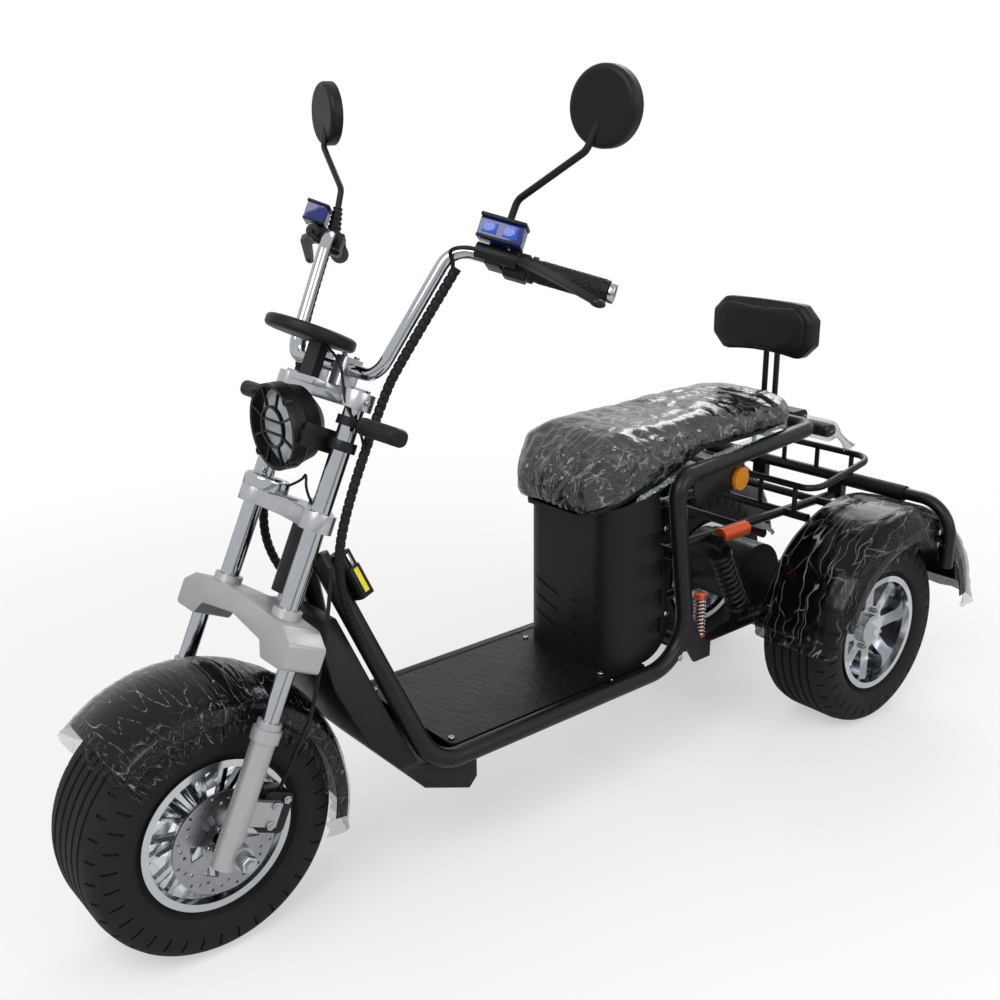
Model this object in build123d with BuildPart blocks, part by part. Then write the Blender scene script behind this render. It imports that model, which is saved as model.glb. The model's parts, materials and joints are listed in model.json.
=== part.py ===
from build123d import *
from math import cos, radians, sin, sqrt
import os

os.makedirs("parts", exist_ok=True)

# Driving sizes, in millimetres and degrees. +X is forward, +Y is left, +Z is up.
wheelbase = 1580
tyre_radius = 229
tyre_width = 205
rim_radius = 139
rim_width = 180
rear_track = 530
rear_tyre_width = 190
rake = 25
yoke_offset = 60
axle_trail = 22
upper_tube_half = 105
upper_tube_radius = 17.5
leg_half = 157
slider_radius = 21
frame_tube_radius = 19
frame_half = 168
deck_rail_z = 245
deck_top = 262
body_half = 143
seat_half = 150
rear_fender_room = 71
rear_fender_back = 15
bar_radius = 11
seat_gap = 0.3
shaft_gap = 0.3

# Stations that follow from the driving sizes.
rear_fender_radius = tyre_radius + rear_fender_room
rear_overhang = rear_fender_back + rear_fender_radius
overall_length = rear_overhang + wheelbase + tyre_radius
rear_x = rear_overhang - overall_length / 2
front_x = rear_x + wheelbase
axle_z = tyre_radius

# Steering plane: its normal is the steering axis, its x runs square to that axis and forward.
lean = radians(rake)
forward = Vector(cos(lean), 0, sin(lean))
upward = Vector(-sin(lean), 0, cos(lean))
axle_offset = yoke_offset - axle_trail
steer_foot = Vector(front_x, 0, axle_z) - forward * axle_offset
steer = Plane(origin=steer_foot, x_dir=forward, z_dir=upward)


def on_fork(u, v, w):
    return steer.from_local_coords(Vector(u, v, w))


def bent_tube(points, bends, radius):
    with BuildPart() as tube:
        with BuildLine() as path:
            FilletPolyline(*points, radius=bends)
        with BuildSketch(Plane(path.line @ 0, z_dir=path.line % 0)):
            Circle(radius)
        sweep()
    return tube.part


def straight_tube(start, end, radius):
    run = Vector(*end) - Vector(*start)
    with BuildPart(Plane(Vector(*start), z_dir=run)) as tube:
        Cylinder(radius, run.length, align=(Align.CENTER, Align.CENTER, Align.MIN))
    return tube.part


# Front tyre
front_axis = Axis((front_x, 0, axle_z), (0, 1, 0))
tyre_inner = rim_radius - 9
tread_half = tyre_width / 2 - 18
tyre_half = tyre_width / 2
bead_half = rim_width / 2 - 9
tyre_wall = 13
section_height = tyre_radius - rim_radius
bead_level = rim_radius + section_height / 15
foot_level = rim_radius + section_height * 2 / 9
belly_level = rim_radius + section_height * 22 / 45
shoulder_level = rim_radius + section_height * 11 / 15
front_tyre_profile = [
    (bead_half - tyre_wall, tyre_inner),
    (bead_half, tyre_inner),
    (bead_half, bead_level),
    (tyre_half - 4, foot_level),
    (tyre_half, belly_level),
    (tyre_half - 4, shoulder_level),
    (tread_half, tyre_radius - 6),
    (tread_half - 32, tyre_radius),
    (-tread_half + 32, tyre_radius),
    (-tread_half, tyre_radius - 6),
    (-tyre_half + 4, shoulder_level),
    (-tyre_half, belly_level),
    (-tyre_half + 4, foot_level),
    (-bead_half, bead_level),
    (-bead_half, tyre_inner),
    (-bead_half + tyre_wall, tyre_inner),
    (-tyre_half + tyre_wall, belly_level),
    (-tread_half + 8, tyre_radius - 6 - tyre_wall),
    (tread_half - 8, tyre_radius - 6 - tyre_wall),
    (tyre_half - tyre_wall, belly_level),
]
with BuildPart() as front_tyre:
    with BuildSketch(Plane.YZ.offset(front_x)):
        with BuildLine():
            Polyline(*[(y, axle_z + r) for y, r in front_tyre_profile], close=True)
        make_face()
    revolve(axis=front_axis)
front_tyre.part.label = "front_tyre"
export_step(front_tyre.part, "parts/front_tyre.step")

# Front rim: barrel with flanges, hub, and forked spokes set in from the outer face
front_axle_radius = 8
front_hub_radius = 36
front_hub_half = 62
spoke_count = 9
spoke_half_angle = 12
spoke_wide = 9
spoke_depth = 26
spoke_set = 42
rim_half = rim_width / 2
barrel_out = tyre_inner - seat_gap
barrel_in = barrel_out - 8
spoke_reach = barrel_in - front_hub_radius + 9
spoke_turns = [Rotation(0, 0, spoke_half_angle), Rotation(0, 0, -spoke_half_angle)]
rim_profile = [
    (-rim_half, barrel_in + 4),
    (-rim_half + 14, barrel_in),
    (rim_half - 14, barrel_in),
    (rim_half, barrel_in + 4),
    (rim_half, rim_radius),
    (rim_half - 8, rim_radius),
    (rim_half - 8, barrel_out),
    (-rim_half + 8, barrel_out),
    (-rim_half + 8, rim_radius),
    (-rim_half, rim_radius),
]
with BuildPart() as front_rim:
    with BuildSketch(Plane.YZ.offset(front_x)):
        with BuildLine():
            Polyline(*[(y, axle_z + r) for y, r in rim_profile], close=True)
        make_face()
    revolve(axis=front_axis)
    with BuildSketch(Plane.XZ.offset(-front_hub_half)):
        with Locations((front_x, axle_z)):
            Circle(front_hub_radius)
    extrude(amount=2 * front_hub_half)
    for side in (1, -1):
        with BuildSketch(Plane.XZ.offset(-side * spoke_set)):
            with Locations((front_x, axle_z)):
                with PolarLocations(0, spoke_count):
                    with Locations((front_hub_radius - 4, 0)):
                        with Locations(*spoke_turns):
                            Rectangle(spoke_reach, spoke_wide, align=(Align.MIN, Align.CENTER))
        extrude(amount=-side * spoke_depth / 2)
    with BuildSketch(Plane.XZ.offset(-front_hub_half - 1)):
        with Locations((front_x, axle_z)):
            Circle(front_axle_radius + shaft_gap)
    extrude(amount=2 * front_hub_half + 2, mode=Mode.SUBTRACT)
front_rim.part.label = "front_rim"
export_step(front_rim.part, "parts/front_rim.step")

# Front brake disc on a hat that seats on the hub: windows inside, drilled rings in the swept band
lug_half = 20
caliper_in = rim_half + 3
caliper_out = leg_half - lug_half
disc_radius = 95
disc_y = (caliper_in + caliper_out) / 2 - 5
disc_thick = 4
hat_radius = 34
window_in = hat_radius + 7
window_out = disc_radius - 32
window_count = 6
drill_radius = 3.2
drill_count = 12
drill_rings = [(disc_radius - 21, 0), (disc_radius - 14, 10), (disc_radius - 7, 20)]
with BuildPart() as brake_disc:
    with BuildSketch(Plane.XZ.offset(-disc_y - disc_thick / 2)):
        with Locations((front_x, axle_z)):
            Circle(disc_radius)
            Circle(hat_radius - 8, mode=Mode.SUBTRACT)
            with PolarLocations((window_in + window_out) / 2, window_count):
                Trapezoid(30, window_out - window_in, 75, rotation=90, mode=Mode.SUBTRACT)
            for ring_radius, ring_turn in drill_rings:
                with PolarLocations(ring_radius, drill_count, start_angle=ring_turn):
                    Circle(drill_radius, mode=Mode.SUBTRACT)
    extrude(amount=disc_thick)
    with BuildSketch(Plane.XZ.offset(-front_hub_half)):
        with Locations((front_x, axle_z)):
            Circle(hat_radius)
            Circle(hat_radius - 8, mode=Mode.SUBTRACT)
    extrude(amount=front_hub_half - disc_y)
brake_disc.part.label = "brake_disc"
export_step(brake_disc.part, "parts/brake_disc.step")

# Rear wheels
rear_half_width = rear_tyre_width / 2
rear_rim_half = rear_half_width - 10
rear_tread_half = rear_half_width - 16
rear_tyre_profile = [
    (rear_rim_half - 9 - tyre_wall, tyre_inner),
    (rear_rim_half - 9, tyre_inner),
    (rear_rim_half - 9, bead_level),
    (rear_half_width - 4, foot_level),
    (rear_half_width, belly_level),
    (rear_half_width - 4, shoulder_level),
    (rear_tread_half, tyre_radius - 6),
    (rear_tread_half - 30, tyre_radius),
    (-rear_tread_half + 30, tyre_radius),
    (-rear_tread_half, tyre_radius - 6),
    (-rear_half_width + 4, shoulder_level),
    (-rear_half_width, belly_level),
    (-rear_half_width + 4, foot_level),
    (-rear_rim_half + 9, bead_level),
    (-rear_rim_half + 9, tyre_inner),
    (-rear_rim_half + 9 + tyre_wall, tyre_inner),
    (-rear_half_width + tyre_wall, belly_level),
    (-rear_tread_half + 8, tyre_radius - 6 - tyre_wall),
    (rear_tread_half - 8, tyre_radius - 6 - tyre_wall),
    (rear_half_width - tyre_wall, belly_level),
]
rear_rim_profile = [
    (-rear_rim_half, barrel_in + 4),
    (-rear_rim_half + 14, barrel_in),
    (rear_rim_half - 14, barrel_in),
    (rear_rim_half, barrel_in + 4),
    (rear_rim_half, rim_radius),
    (rear_rim_half - 8, rim_radius),
    (rear_rim_half - 8, barrel_out),
    (-rear_rim_half + 8, barrel_out),
    (-rear_rim_half + 8, rim_radius),
    (-rear_rim_half, rim_radius),
]
rear_axis = Axis((rear_x, 0, axle_z), (0, 1, 0))
rear_spoke_count = 8
rear_spoke_wide = 30
rear_web_in = rear_track / 2 + 28
rear_web_out = rear_web_in + 24
rear_hub_radius = 44
rear_shaft_radius = 14
housing_end = 140
shaft_depth = 44
for side, name in ((1, "left"), (-1, "right")):
    middle = side * rear_track / 2
    with BuildPart() as rear_tyre:
        with BuildSketch(Plane.YZ.offset(rear_x)):
            with BuildLine():
                Polyline(*[(middle + y, axle_z + r) for y, r in rear_tyre_profile], close=True)
            make_face()
        revolve(axis=rear_axis)
    rear_tyre.part.label = "rear_tyre_" + name
    export_step(rear_tyre.part, "parts/rear_tyre_" + name + ".step")

    with BuildPart() as rear_rim:
        with BuildSketch(Plane.YZ.offset(rear_x)):
            with BuildLine():
                Polyline(*[(middle + y, axle_z + r) for y, r in rear_rim_profile], close=True)
            make_face()
        revolve(axis=rear_axis)
        with BuildSketch(Plane.XZ.offset(-side * rear_web_in)):
            with Locations((rear_x, axle_z)):
                Circle(rear_hub_radius + 12)
                with PolarLocations(0, rear_spoke_count):
                    Rectangle(barrel_in + 4, rear_spoke_wide, align=(Align.MIN, Align.CENTER))
        extrude(amount=-side * (rear_web_out - rear_web_in))
        with BuildSketch(Plane.XZ.offset(-side * rear_web_out)):
            with Locations((rear_x, axle_z)):
                Circle(rear_hub_radius - 8)
        extrude(amount=-side * 14)
    rear_rim.part.label = "rear_rim_" + name
    export_step(rear_rim.part, "parts/rear_rim_" + name + ".step")

    with BuildPart() as rear_hub:
        with BuildSketch(Plane.XZ.offset(-side * (housing_end + 6))):
            with Locations((rear_x, axle_z)):
                Circle(rear_hub_radius)
        extrude(amount=-side * (rear_web_in - housing_end - 6))
        with BuildSketch(Plane.XZ.offset(-side * (housing_end - shaft_depth + 6))):
            with Locations((rear_x, axle_z)):
                Circle(rear_shaft_radius)
        extrude(amount=-side * shaft_depth)
    rear_hub.part.label = "rear_hub_" + name
    export_step(rear_hub.part, "parts/rear_hub_" + name + ".step")

# Fork levels along the steering axis, measured up from the foot of the axis
slider_foot = -24
slider_top = tyre_radius + 3
crown_low = slider_top + 95
crown_seat = crown_low + 85
head_low = crown_seat + 6
head_high = head_low + 126
mid_yoke_low = head_high + 6
mid_yoke_high = mid_yoke_low + 32
top_yoke_low = mid_yoke_high + 183
top_yoke_high = top_yoke_low + 30
tube_top = top_yoke_high + 5
bar_level = top_yoke_high + 31
stanchion_radius = 15.5
stem_radius = 15
collar_radius = 25

# Chrome fork tubes: upper pair between crown and top yoke, stanchions between sliders and crown
with BuildPart(steer) as fork_tubes:
    with Locations((yoke_offset, upper_tube_half, crown_seat)):
        Cylinder(upper_tube_radius, tube_top - crown_seat, align=(Align.CENTER, Align.CENTER, Align.MIN))
    with Locations((yoke_offset, leg_half, slider_top)):
        Cylinder(stanchion_radius, crown_low - slider_top, align=(Align.CENTER, Align.CENTER, Align.MIN))
    mirror(about=Plane.XZ)
fork_tubes.part.label = "fork_tubes"
export_step(fork_tubes.part, "parts/fork_tubes.step")

# Fork sliders with a seal collar at the top and an axle lug behind the foot
lug_radius = 20
with BuildPart(steer) as fork_sliders:
    with Locations((yoke_offset, leg_half, slider_foot)):
        Cylinder(slider_radius, slider_top - slider_foot, align=(Align.CENTER, Align.CENTER, Align.MIN))
    with Locations((yoke_offset, leg_half, slider_top - 34)):
        Cylinder(collar_radius, 22, align=(Align.CENTER, Align.CENTER, Align.MIN))
    with Locations((axle_offset, leg_half, 0)):
        Cylinder(lug_radius, 2 * lug_half, rotation=(90, 0, 0))
    with Locations((axle_offset, leg_half, 0)):
        Cylinder(front_axle_radius + seat_gap, 2 * lug_half + 20, rotation=(90, 0, 0), mode=Mode.SUBTRACT)
    mirror(about=Plane.XZ)
    with Locations((yoke_offset - 6, leg_half - lug_half, 66)):
        Box(80, 12, 44, align=(Align.MAX, Align.MIN, Align.CENTER))
fork_sliders.part.label = "fork_sliders"
export_step(fork_sliders.part, "parts/fork_sliders.step")

# Front axle with spacers and nuts
nut_in = leg_half + slider_radius + seat_gap
spacer_in = front_hub_half + 6
spacer_out = leg_half - lug_half - seat_gap
with BuildPart(steer) as front_axle:
    with Locations((axle_offset, 0, 0)):
        Cylinder(front_axle_radius, 2 * nut_in + 20, rotation=(90, 0, 0))
    for side in (1, -1):
        with Locations((axle_offset, side * (spacer_in + spacer_out) / 2, 0)):
            Cylinder(14, spacer_out - spacer_in, rotation=(90, 0, 0))
        with Locations((axle_offset, side * (nut_in + 7), 0)):
            Cylinder(14, 14, rotation=(90, 0, 0))
front_axle.part.label = "front_axle"
export_step(front_axle.part, "parts/front_axle.step")

# Crown bridge: an arch over the wheel with the stem that turns in the head tube
crown_half = leg_half + 35
stem_low = crown_low + 43
crown_back = yoke_offset - 38
crown_front = yoke_offset + 36
crown_outline = [
    (-crown_half, crown_low),
    (-leg_half + 34, crown_low),
    (-upper_tube_half, crown_low + 25),
    (0, crown_low + 39),
    (upper_tube_half, crown_low + 25),
    (leg_half - 34, crown_low),
    (crown_half, crown_low),
    (crown_half, crown_low + 45),
    (leg_half, crown_low + 67),
    (0, crown_low + 78),
    (-leg_half, crown_low + 67),
    (-crown_half, crown_low + 45),
]
crown_plane = Plane(on_fork(crown_back, 0, 0), x_dir=(0, 1, 0), z_dir=forward)
with BuildPart() as fork_crown:
    with BuildSketch(crown_plane):
        with BuildLine():
            Polyline(*crown_outline, close=True)
        make_face()
    extrude(amount=crown_front - crown_back)
    fillet(fork_crown.edges().filter_by(Axis(steer_foot, forward)), 9)
    with BuildSketch(steer.offset(stem_low)):
        with Locations((yoke_offset, upper_tube_half), (yoke_offset, -upper_tube_half)):
            Circle(upper_tube_radius + 8)
    extrude(amount=crown_seat - stem_low)
    with BuildSketch(steer.offset(stem_low - 2)):
        Circle(24)
        Rectangle(crown_back + 4, 36, align=(Align.MIN, Align.CENTER))
    extrude(amount=36)
    with BuildSketch(steer.offset(stem_low)):
        Circle(stem_radius)
    extrude(amount=mid_yoke_high - stem_low)
fork_crown.part.label = "fork_crown"
export_step(fork_crown.part, "parts/fork_crown.step")

# Top and middle yokes clamp the upper tubes; the top one carries the bar clamps
clamp_half = 46
bar_hole = bar_radius + seat_gap
with BuildPart() as fork_yokes:
    with BuildSketch(steer.offset(mid_yoke_low)):
        Circle(29)
        with Locations((yoke_offset, upper_tube_half), (yoke_offset, -upper_tube_half)):
            Circle(upper_tube_radius + 12)
        Polygon((-20, 20), (-20, -20), (40, -upper_tube_half - 18), (80, -upper_tube_half), (64, 0),
                (80, upper_tube_half), (40, upper_tube_half + 18), align=None)
    extrude(amount=mid_yoke_high - mid_yoke_low)
    with BuildSketch(steer.offset(top_yoke_low)):
        with Locations((yoke_offset, upper_tube_half), (yoke_offset, -upper_tube_half)):
            Circle(upper_tube_radius + 11)
        with Locations((yoke_offset, 0)):
            Rectangle(44, 2 * upper_tube_half)
    extrude(amount=top_yoke_high - top_yoke_low)
    with BuildSketch(steer.offset(top_yoke_high - 12)):
        with Locations((yoke_offset + 34, 0)):
            Rectangle(34, 72)
    extrude(amount=12)
    with BuildSketch(steer.offset(top_yoke_high)):
        with Locations((yoke_offset, clamp_half), (yoke_offset, -clamp_half)):
            RectangleRounded(40, 32, 5)
    extrude(amount=bar_level + 20 - top_yoke_high)
    with BuildSketch(Plane(on_fork(yoke_offset, -90, bar_level), x_dir=forward, z_dir=(0, 1, 0))):
        Circle(bar_hole)
    extrude(amount=180, mode=Mode.SUBTRACT)
    with BuildSketch(steer.offset(mid_yoke_low - 5)):
        with Locations((yoke_offset, upper_tube_half), (yoke_offset, -upper_tube_half)):
            Circle(upper_tube_radius + seat_gap)
        Circle(stem_radius + seat_gap)
    extrude(amount=tube_top - mid_yoke_low + 10, mode=Mode.SUBTRACT)
fork_yokes.part.label = "fork_yokes"
export_step(fork_yokes.part, "parts/fork_yokes.step")

# Handlebar: clamped straight, then up each side and swept back to the grips
bar_half = upper_tube_half + 292
bar_elbow = on_fork(yoke_offset, upper_tube_half + 33, bar_level)
bar_bend = on_fork(yoke_offset - 24, upper_tube_half + 85, bar_level + 239)
bar_end = on_fork(yoke_offset - 190, bar_half, bar_level + 243)


def mirrored(point):
    return Vector(point.X, -point.Y, point.Z)


bar_points = [bar_end, bar_bend, bar_elbow, mirrored(bar_elbow), mirrored(bar_bend), mirrored(bar_end)]
handlebar_tube = bent_tube(bar_points, [45, 40, 40, 45], bar_radius)
with BuildPart() as handlebar:
    add(handlebar_tube)
handlebar.part.label = "handlebar"
export_step(handlebar.part, "parts/handlebar.step")

# Hand controls are placed along the swept end: x forward of the bar, y down, z outward
bar_run = (bar_end - bar_bend).normalized()
bar_ahead = (forward - bar_run * forward.dot(bar_run)).normalized()
bar_length = (bar_end - bar_bend).length
grip = Plane(bar_bend, x_dir=bar_ahead, z_dir=bar_run)
grip_start = bar_length - 130
grip_radius = 16
with BuildPart(grip) as grips:
    with Locations((0, 0, grip_start)):
        Cylinder(grip_radius, bar_length - grip_start, align=(Align.CENTER, Align.CENTER, Align.MIN))
        Cylinder(grip_radius + 4, 8, align=(Align.CENTER, Align.CENTER, Align.MIN))
        Cylinder(bar_hole, bar_length, align=(Align.CENTER, Align.CENTER, Align.MIN), mode=Mode.SUBTRACT)
    mirror(about=Plane.XZ)
grips.part.label = "grips"
export_step(grips.part, "parts/grips.step")

with BuildPart(grip) as grip_caps:
    with Locations((0, 0, bar_length)):
        Cylinder(grip_radius + 1, 12, align=(Align.CENTER, Align.CENTER, Align.MIN))
    mirror(about=Plane.XZ)
grip_caps.part.label = "grip_caps"
export_step(grip_caps.part, "parts/grip_caps.step")

# Brake masters with their levers
master_s = grip_start - 58
master_ahead = 36
lever_start = master_s + 40 + seat_gap
lever_outline = [
    (master_ahead - 12, lever_start),
    (master_ahead + 14, lever_start),
    (master_ahead + 34, lever_start + 40),
    (master_ahead + 26, bar_length - 4),
    (master_ahead + 12, bar_length - 4),
    (master_ahead + 14, lever_start + 46),
]
with BuildPart(grip) as brake_masters:
    with Locations((6, 0, master_s)):
        Box(54, 32, 26)
    with Locations((master_ahead, 0, master_s - 30)):
        Cylinder(13, 70, align=(Align.CENTER, Align.CENTER, Align.MIN))
    with Locations((0, 0, master_s)):
        Cylinder(bar_hole, 40, mode=Mode.SUBTRACT)
    with BuildSketch(Plane(bar_bend, x_dir=bar_ahead, z_dir=bar_ahead.cross(bar_run))):
        with BuildLine():
            Polyline(*lever_outline, close=True)
        make_face()
    extrude(amount=6, both=True)
    mirror(about=Plane.XZ)
brake_masters.part.label = "brake_masters"
export_step(brake_masters.part, "parts/brake_masters.step")

with BuildPart(grip) as fluid_tanks:
    with Locations((master_ahead + 6, -16 - seat_gap, master_s + 4)):
        Box(40, 34, 72, align=(Align.CENTER, Align.MAX, Align.CENTER))
    fillet(fluid_tanks.edges().filter_by(Axis(bar_bend, bar_run)), 6)
    mirror(about=Plane.XZ)
fluid_tanks.part.label = "fluid_tanks"
export_step(fluid_tanks.part, "parts/fluid_tanks.step")

with BuildPart(grip) as switch_pods:
    with Locations((0, 2, grip_start - 22)):
        Box(40, 44, 36)
    fillet(switch_pods.edges().filter_by(Axis(bar_bend, bar_run)), 8)
    with Locations((0, 0, grip_start - 22)):
        Cylinder(bar_hole, 60, mode=Mode.SUBTRACT)
    mirror(about=Plane.XZ)
switch_pods.part.label = "switch_pods"
export_step(switch_pods.part, "parts/switch_pods.step")

# Mirrors: bent stem from the brake clamp to a round head that faces the rider
mirror_radius = 62
mirror_toe = radians(11)
mirror_centre = on_fork(2, bar_half, bar_level + 491)
stem_foot = grip.from_local_coords(Vector(2, -18, master_s))
stem_low_bend = on_fork(-4, bar_half - 135, bar_level + 339)
stem_high_bend = on_fork(-6, bar_half - 17, bar_level + 424)
mirror_stem = bent_tube([stem_foot, stem_low_bend, stem_high_bend, mirror_centre], [22, 22], 6)
mirror_plane = Plane(mirror_centre, x_dir=(-sin(mirror_toe), cos(mirror_toe), 0),
                     z_dir=(-cos(mirror_toe), -sin(mirror_toe), 0))
with BuildPart() as mirrors:
    with BuildSketch(mirror_plane.offset(-12)):
        Circle(mirror_radius)
    extrude(amount=24)
    fillet(mirrors.edges().filter_by(GeomType.CIRCLE).group_by(Axis.X)[-1], 10)
    with BuildSketch(mirror_plane.offset(12)):
        Circle(mirror_radius - 5)
    extrude(amount=-4, mode=Mode.SUBTRACT)
    add(mirror_stem)
    mirror(about=Plane.XZ)
mirrors.part.label = "mirrors"
export_step(mirrors.part, "parts/mirrors.step")

with BuildPart() as mirror_glass:
    with BuildSketch(mirror_plane.offset(8)):
        Circle(mirror_radius - 5 - seat_gap)
    extrude(amount=3)
    mirror(about=Plane.XZ)
mirror_glass.part.label = "mirror_glass"
export_step(mirror_glass.part, "parts/mirror_glass.step")

# Round display on a post in front of the bar clamps
dash_radius = 80
dash_ahead = yoke_offset + 61
dash_low = bar_level + 28
with BuildPart() as display:
    with BuildSketch(steer.offset(dash_low)):
        with Locations((dash_ahead, 0)):
            Circle(dash_radius)
    extrude(amount=22)
    fillet(display.edges().filter_by(GeomType.CIRCLE), 8)
    with BuildSketch(steer.offset(top_yoke_high)):
        with Locations((yoke_offset + 39, 0)):
            Rectangle(16, 40)
    extrude(amount=dash_low + 6 - top_yoke_high)
display.part.label = "display"
export_step(display.part, "parts/display.step")

# Headlight between the upper tubes, facing straight ahead
lamp_radius = 75.5
lamp_depth = 78
lamp_origin = on_fork(yoke_offset + 71, 0, top_yoke_low - 71)
lamp = Plane(lamp_origin, x_dir=(0, 1, 0), z_dir=(1, 0, 0))
lamp_axis = Axis(lamp_origin, (1, 0, 0))
lamp_side = Plane(lamp_origin, x_dir=(1, 0, 0), z_dir=(0, -1, 0))
with BuildPart() as headlight_shell:
    with BuildSketch(lamp_side):
        with BuildLine():
            Polyline((-lamp_depth, 0), (-lamp_depth, 34), (-lamp_depth + 24, 64), (-26, lamp_radius - 4),
                     (-20, lamp_radius), (0, lamp_radius), (0, lamp_radius - 7), (-20, lamp_radius - 9),
                     (-44, 40), (-44, 0), close=True)
        make_face()
    revolve(axis=lamp_axis)
headlight_shell.part.label = "headlight_shell"
export_step(headlight_shell.part, "parts/headlight_shell.step")

with BuildPart() as headlight_lens:
    with BuildSketch(lamp.offset(-19)):
        Circle(lamp_radius - 9 - seat_gap)
    extrude(amount=4)
headlight_lens.part.label = "headlight_lens"
export_step(headlight_lens.part, "parts/headlight_lens.step")

guard_bars = 8
guard_inner = 34
with BuildPart() as headlight_guard:
    with BuildSketch(lamp.offset(seat_gap)):
        Circle(lamp_radius)
        Circle(lamp_radius - 10, mode=Mode.SUBTRACT)
    extrude(amount=7)
    with BuildSketch(lamp.offset(seat_gap + 1)):
        Circle(guard_inner)
        Circle(guard_inner - 6, mode=Mode.SUBTRACT)
        with PolarLocations(0, guard_bars, start_angle=22.5):
            with Locations((guard_inner - 3, 0)):
                Rectangle(lamp_radius - 3 - guard_inner, 5, align=(Align.MIN, Align.CENTER))
        with Locations((0, 9), (0, -9)):
            Rectangle(2 * guard_inner - 10, 5)
    extrude(amount=6)
headlight_guard.part.label = "headlight_guard"
export_step(headlight_guard.part, "parts/headlight_guard.step")

ear_level = top_yoke_low - 65
ear_bolt = on_fork(yoke_offset + 62, lamp_radius + seat_gap, ear_level)
ear_plane = Plane(ear_bolt, x_dir=forward, z_dir=(0, 1, 0))
ear_in = lamp_radius + 3
with BuildPart() as headlight_bracket:
    with BuildSketch(steer.offset(ear_level - 9)):
        with Locations((yoke_offset, upper_tube_half)):
            Circle(upper_tube_radius + 7)
    extrude(amount=18)
    with BuildSketch(steer.offset(ear_level - 20)):
        with Locations((yoke_offset, ear_in)):
            Rectangle(66, 5, align=(Align.MIN, Align.MIN))
    extrude(amount=40)
    with BuildSketch(ear_plane):
        Circle(7)
    extrude(amount=5)
    with BuildSketch(steer.offset(ear_level - 30)):
        with Locations((yoke_offset, upper_tube_half)):
            Circle(upper_tube_radius + seat_gap)
    extrude(amount=60, mode=Mode.SUBTRACT)
    mirror(about=Plane.XZ)
headlight_bracket.part.label = "headlight_bracket"
export_step(headlight_bracket.part, "parts/headlight_bracket.step")

# Front signals on rings round the upper tubes
signal_level = top_yoke_low - 23
signal_tip = upper_tube_half + 145
signal_root = on_fork(yoke_offset, upper_tube_half, signal_level)
signal_back = on_fork(yoke_offset, signal_tip - 95, signal_level)
with BuildPart() as front_signals:
    with BuildSketch(steer.offset(signal_level - 8)):
        with Locations((yoke_offset, upper_tube_half)):
            Circle(upper_tube_radius + 6)
    extrude(amount=16)
    with BuildSketch(Plane(signal_root, x_dir=forward, z_dir=(0, 1, 0))):
        Circle(6.5)
    extrude(amount=60)
    with BuildSketch(Plane(signal_back, x_dir=forward, z_dir=(0, 1, 0))):
        RectangleRounded(40, 30, 13)
    extrude(amount=95)
    fillet(front_signals.faces().sort_by(Axis.Y)[-1].edges(), 9)
    with BuildSketch(steer.offset(signal_level - 20)):
        with Locations((yoke_offset, upper_tube_half)):
            Circle(upper_tube_radius + seat_gap)
    extrude(amount=40, mode=Mode.SUBTRACT)
    mirror(about=Plane.XZ)
front_signals.part.label = "front_signals"
export_step(front_signals.part, "parts/front_signals.step")

# Horn on a strap over the middle yoke
horn_radius = 40
with BuildPart() as horn:
    with BuildSketch(steer.offset(mid_yoke_high)):
        with Locations((yoke_offset - 14, 0)):
            Rectangle(64, 22, align=(Align.MIN, Align.CENTER))
    extrude(amount=5)
    with BuildSketch(steer.offset(mid_yoke_high + 5)):
        with Locations((yoke_offset + 51, 0)):
            Circle(horn_radius)
    extrude(amount=24)
    fillet(horn.edges().filter_by(GeomType.CIRCLE).group_by(Axis.Z)[-1], 8)
horn.part.label = "horn"
export_step(horn.part, "parts/horn.step")

# Front fender: a crowned band round the wheel, held by stays to the slider collars
fender_half = 112
fender_edge = tyre_radius + 17
fender_crown = tyre_radius + 46
fender_skirt = tyre_radius - 8
fender_start = 50
fender_sweep = 142
fender_thick = 3
fender_in = fender_half - fender_thick
skirt_half = fender_half + 4
fender_angle = radians(fender_start)
fender_plane = Plane((front_x, 0, axle_z), x_dir=(0, 1, 0),
                     z_dir=(sin(fender_angle), 0, -cos(fender_angle)))
stay_out = leg_half - slider_radius - seat_gap
stay_middle = (stay_out + fender_half + 1) / 2
with BuildPart() as front_fender:
    with BuildSketch(fender_plane):
        with BuildLine():
            Polyline((-fender_half, fender_edge), (-skirt_half, fender_skirt),
                     (-skirt_half + fender_thick, fender_skirt), (-fender_in, fender_edge))
            ThreePointArc((-fender_in, fender_edge), (0, fender_crown - fender_thick),
                          (fender_in, fender_edge))
            Polyline((fender_in, fender_edge), (skirt_half - fender_thick, fender_skirt),
                     (skirt_half, fender_skirt), (fender_half, fender_edge))
            ThreePointArc((fender_half, fender_edge), (0, fender_crown), (-fender_half, fender_edge))
        make_face()
    revolve(axis=Axis((front_x, 0, axle_z), (0, -1, 0)), revolution_arc=fender_sweep)
    with BuildSketch(steer.offset(slider_top - 11)):
        with Locations((yoke_offset, stay_middle), (yoke_offset, -stay_middle)):
            Rectangle(26, stay_out - fender_half - 1)
    extrude(amount=18)
front_fender.part.label = "front_fender"
export_step(front_fender.part, "parts/front_fender.step")

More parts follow.
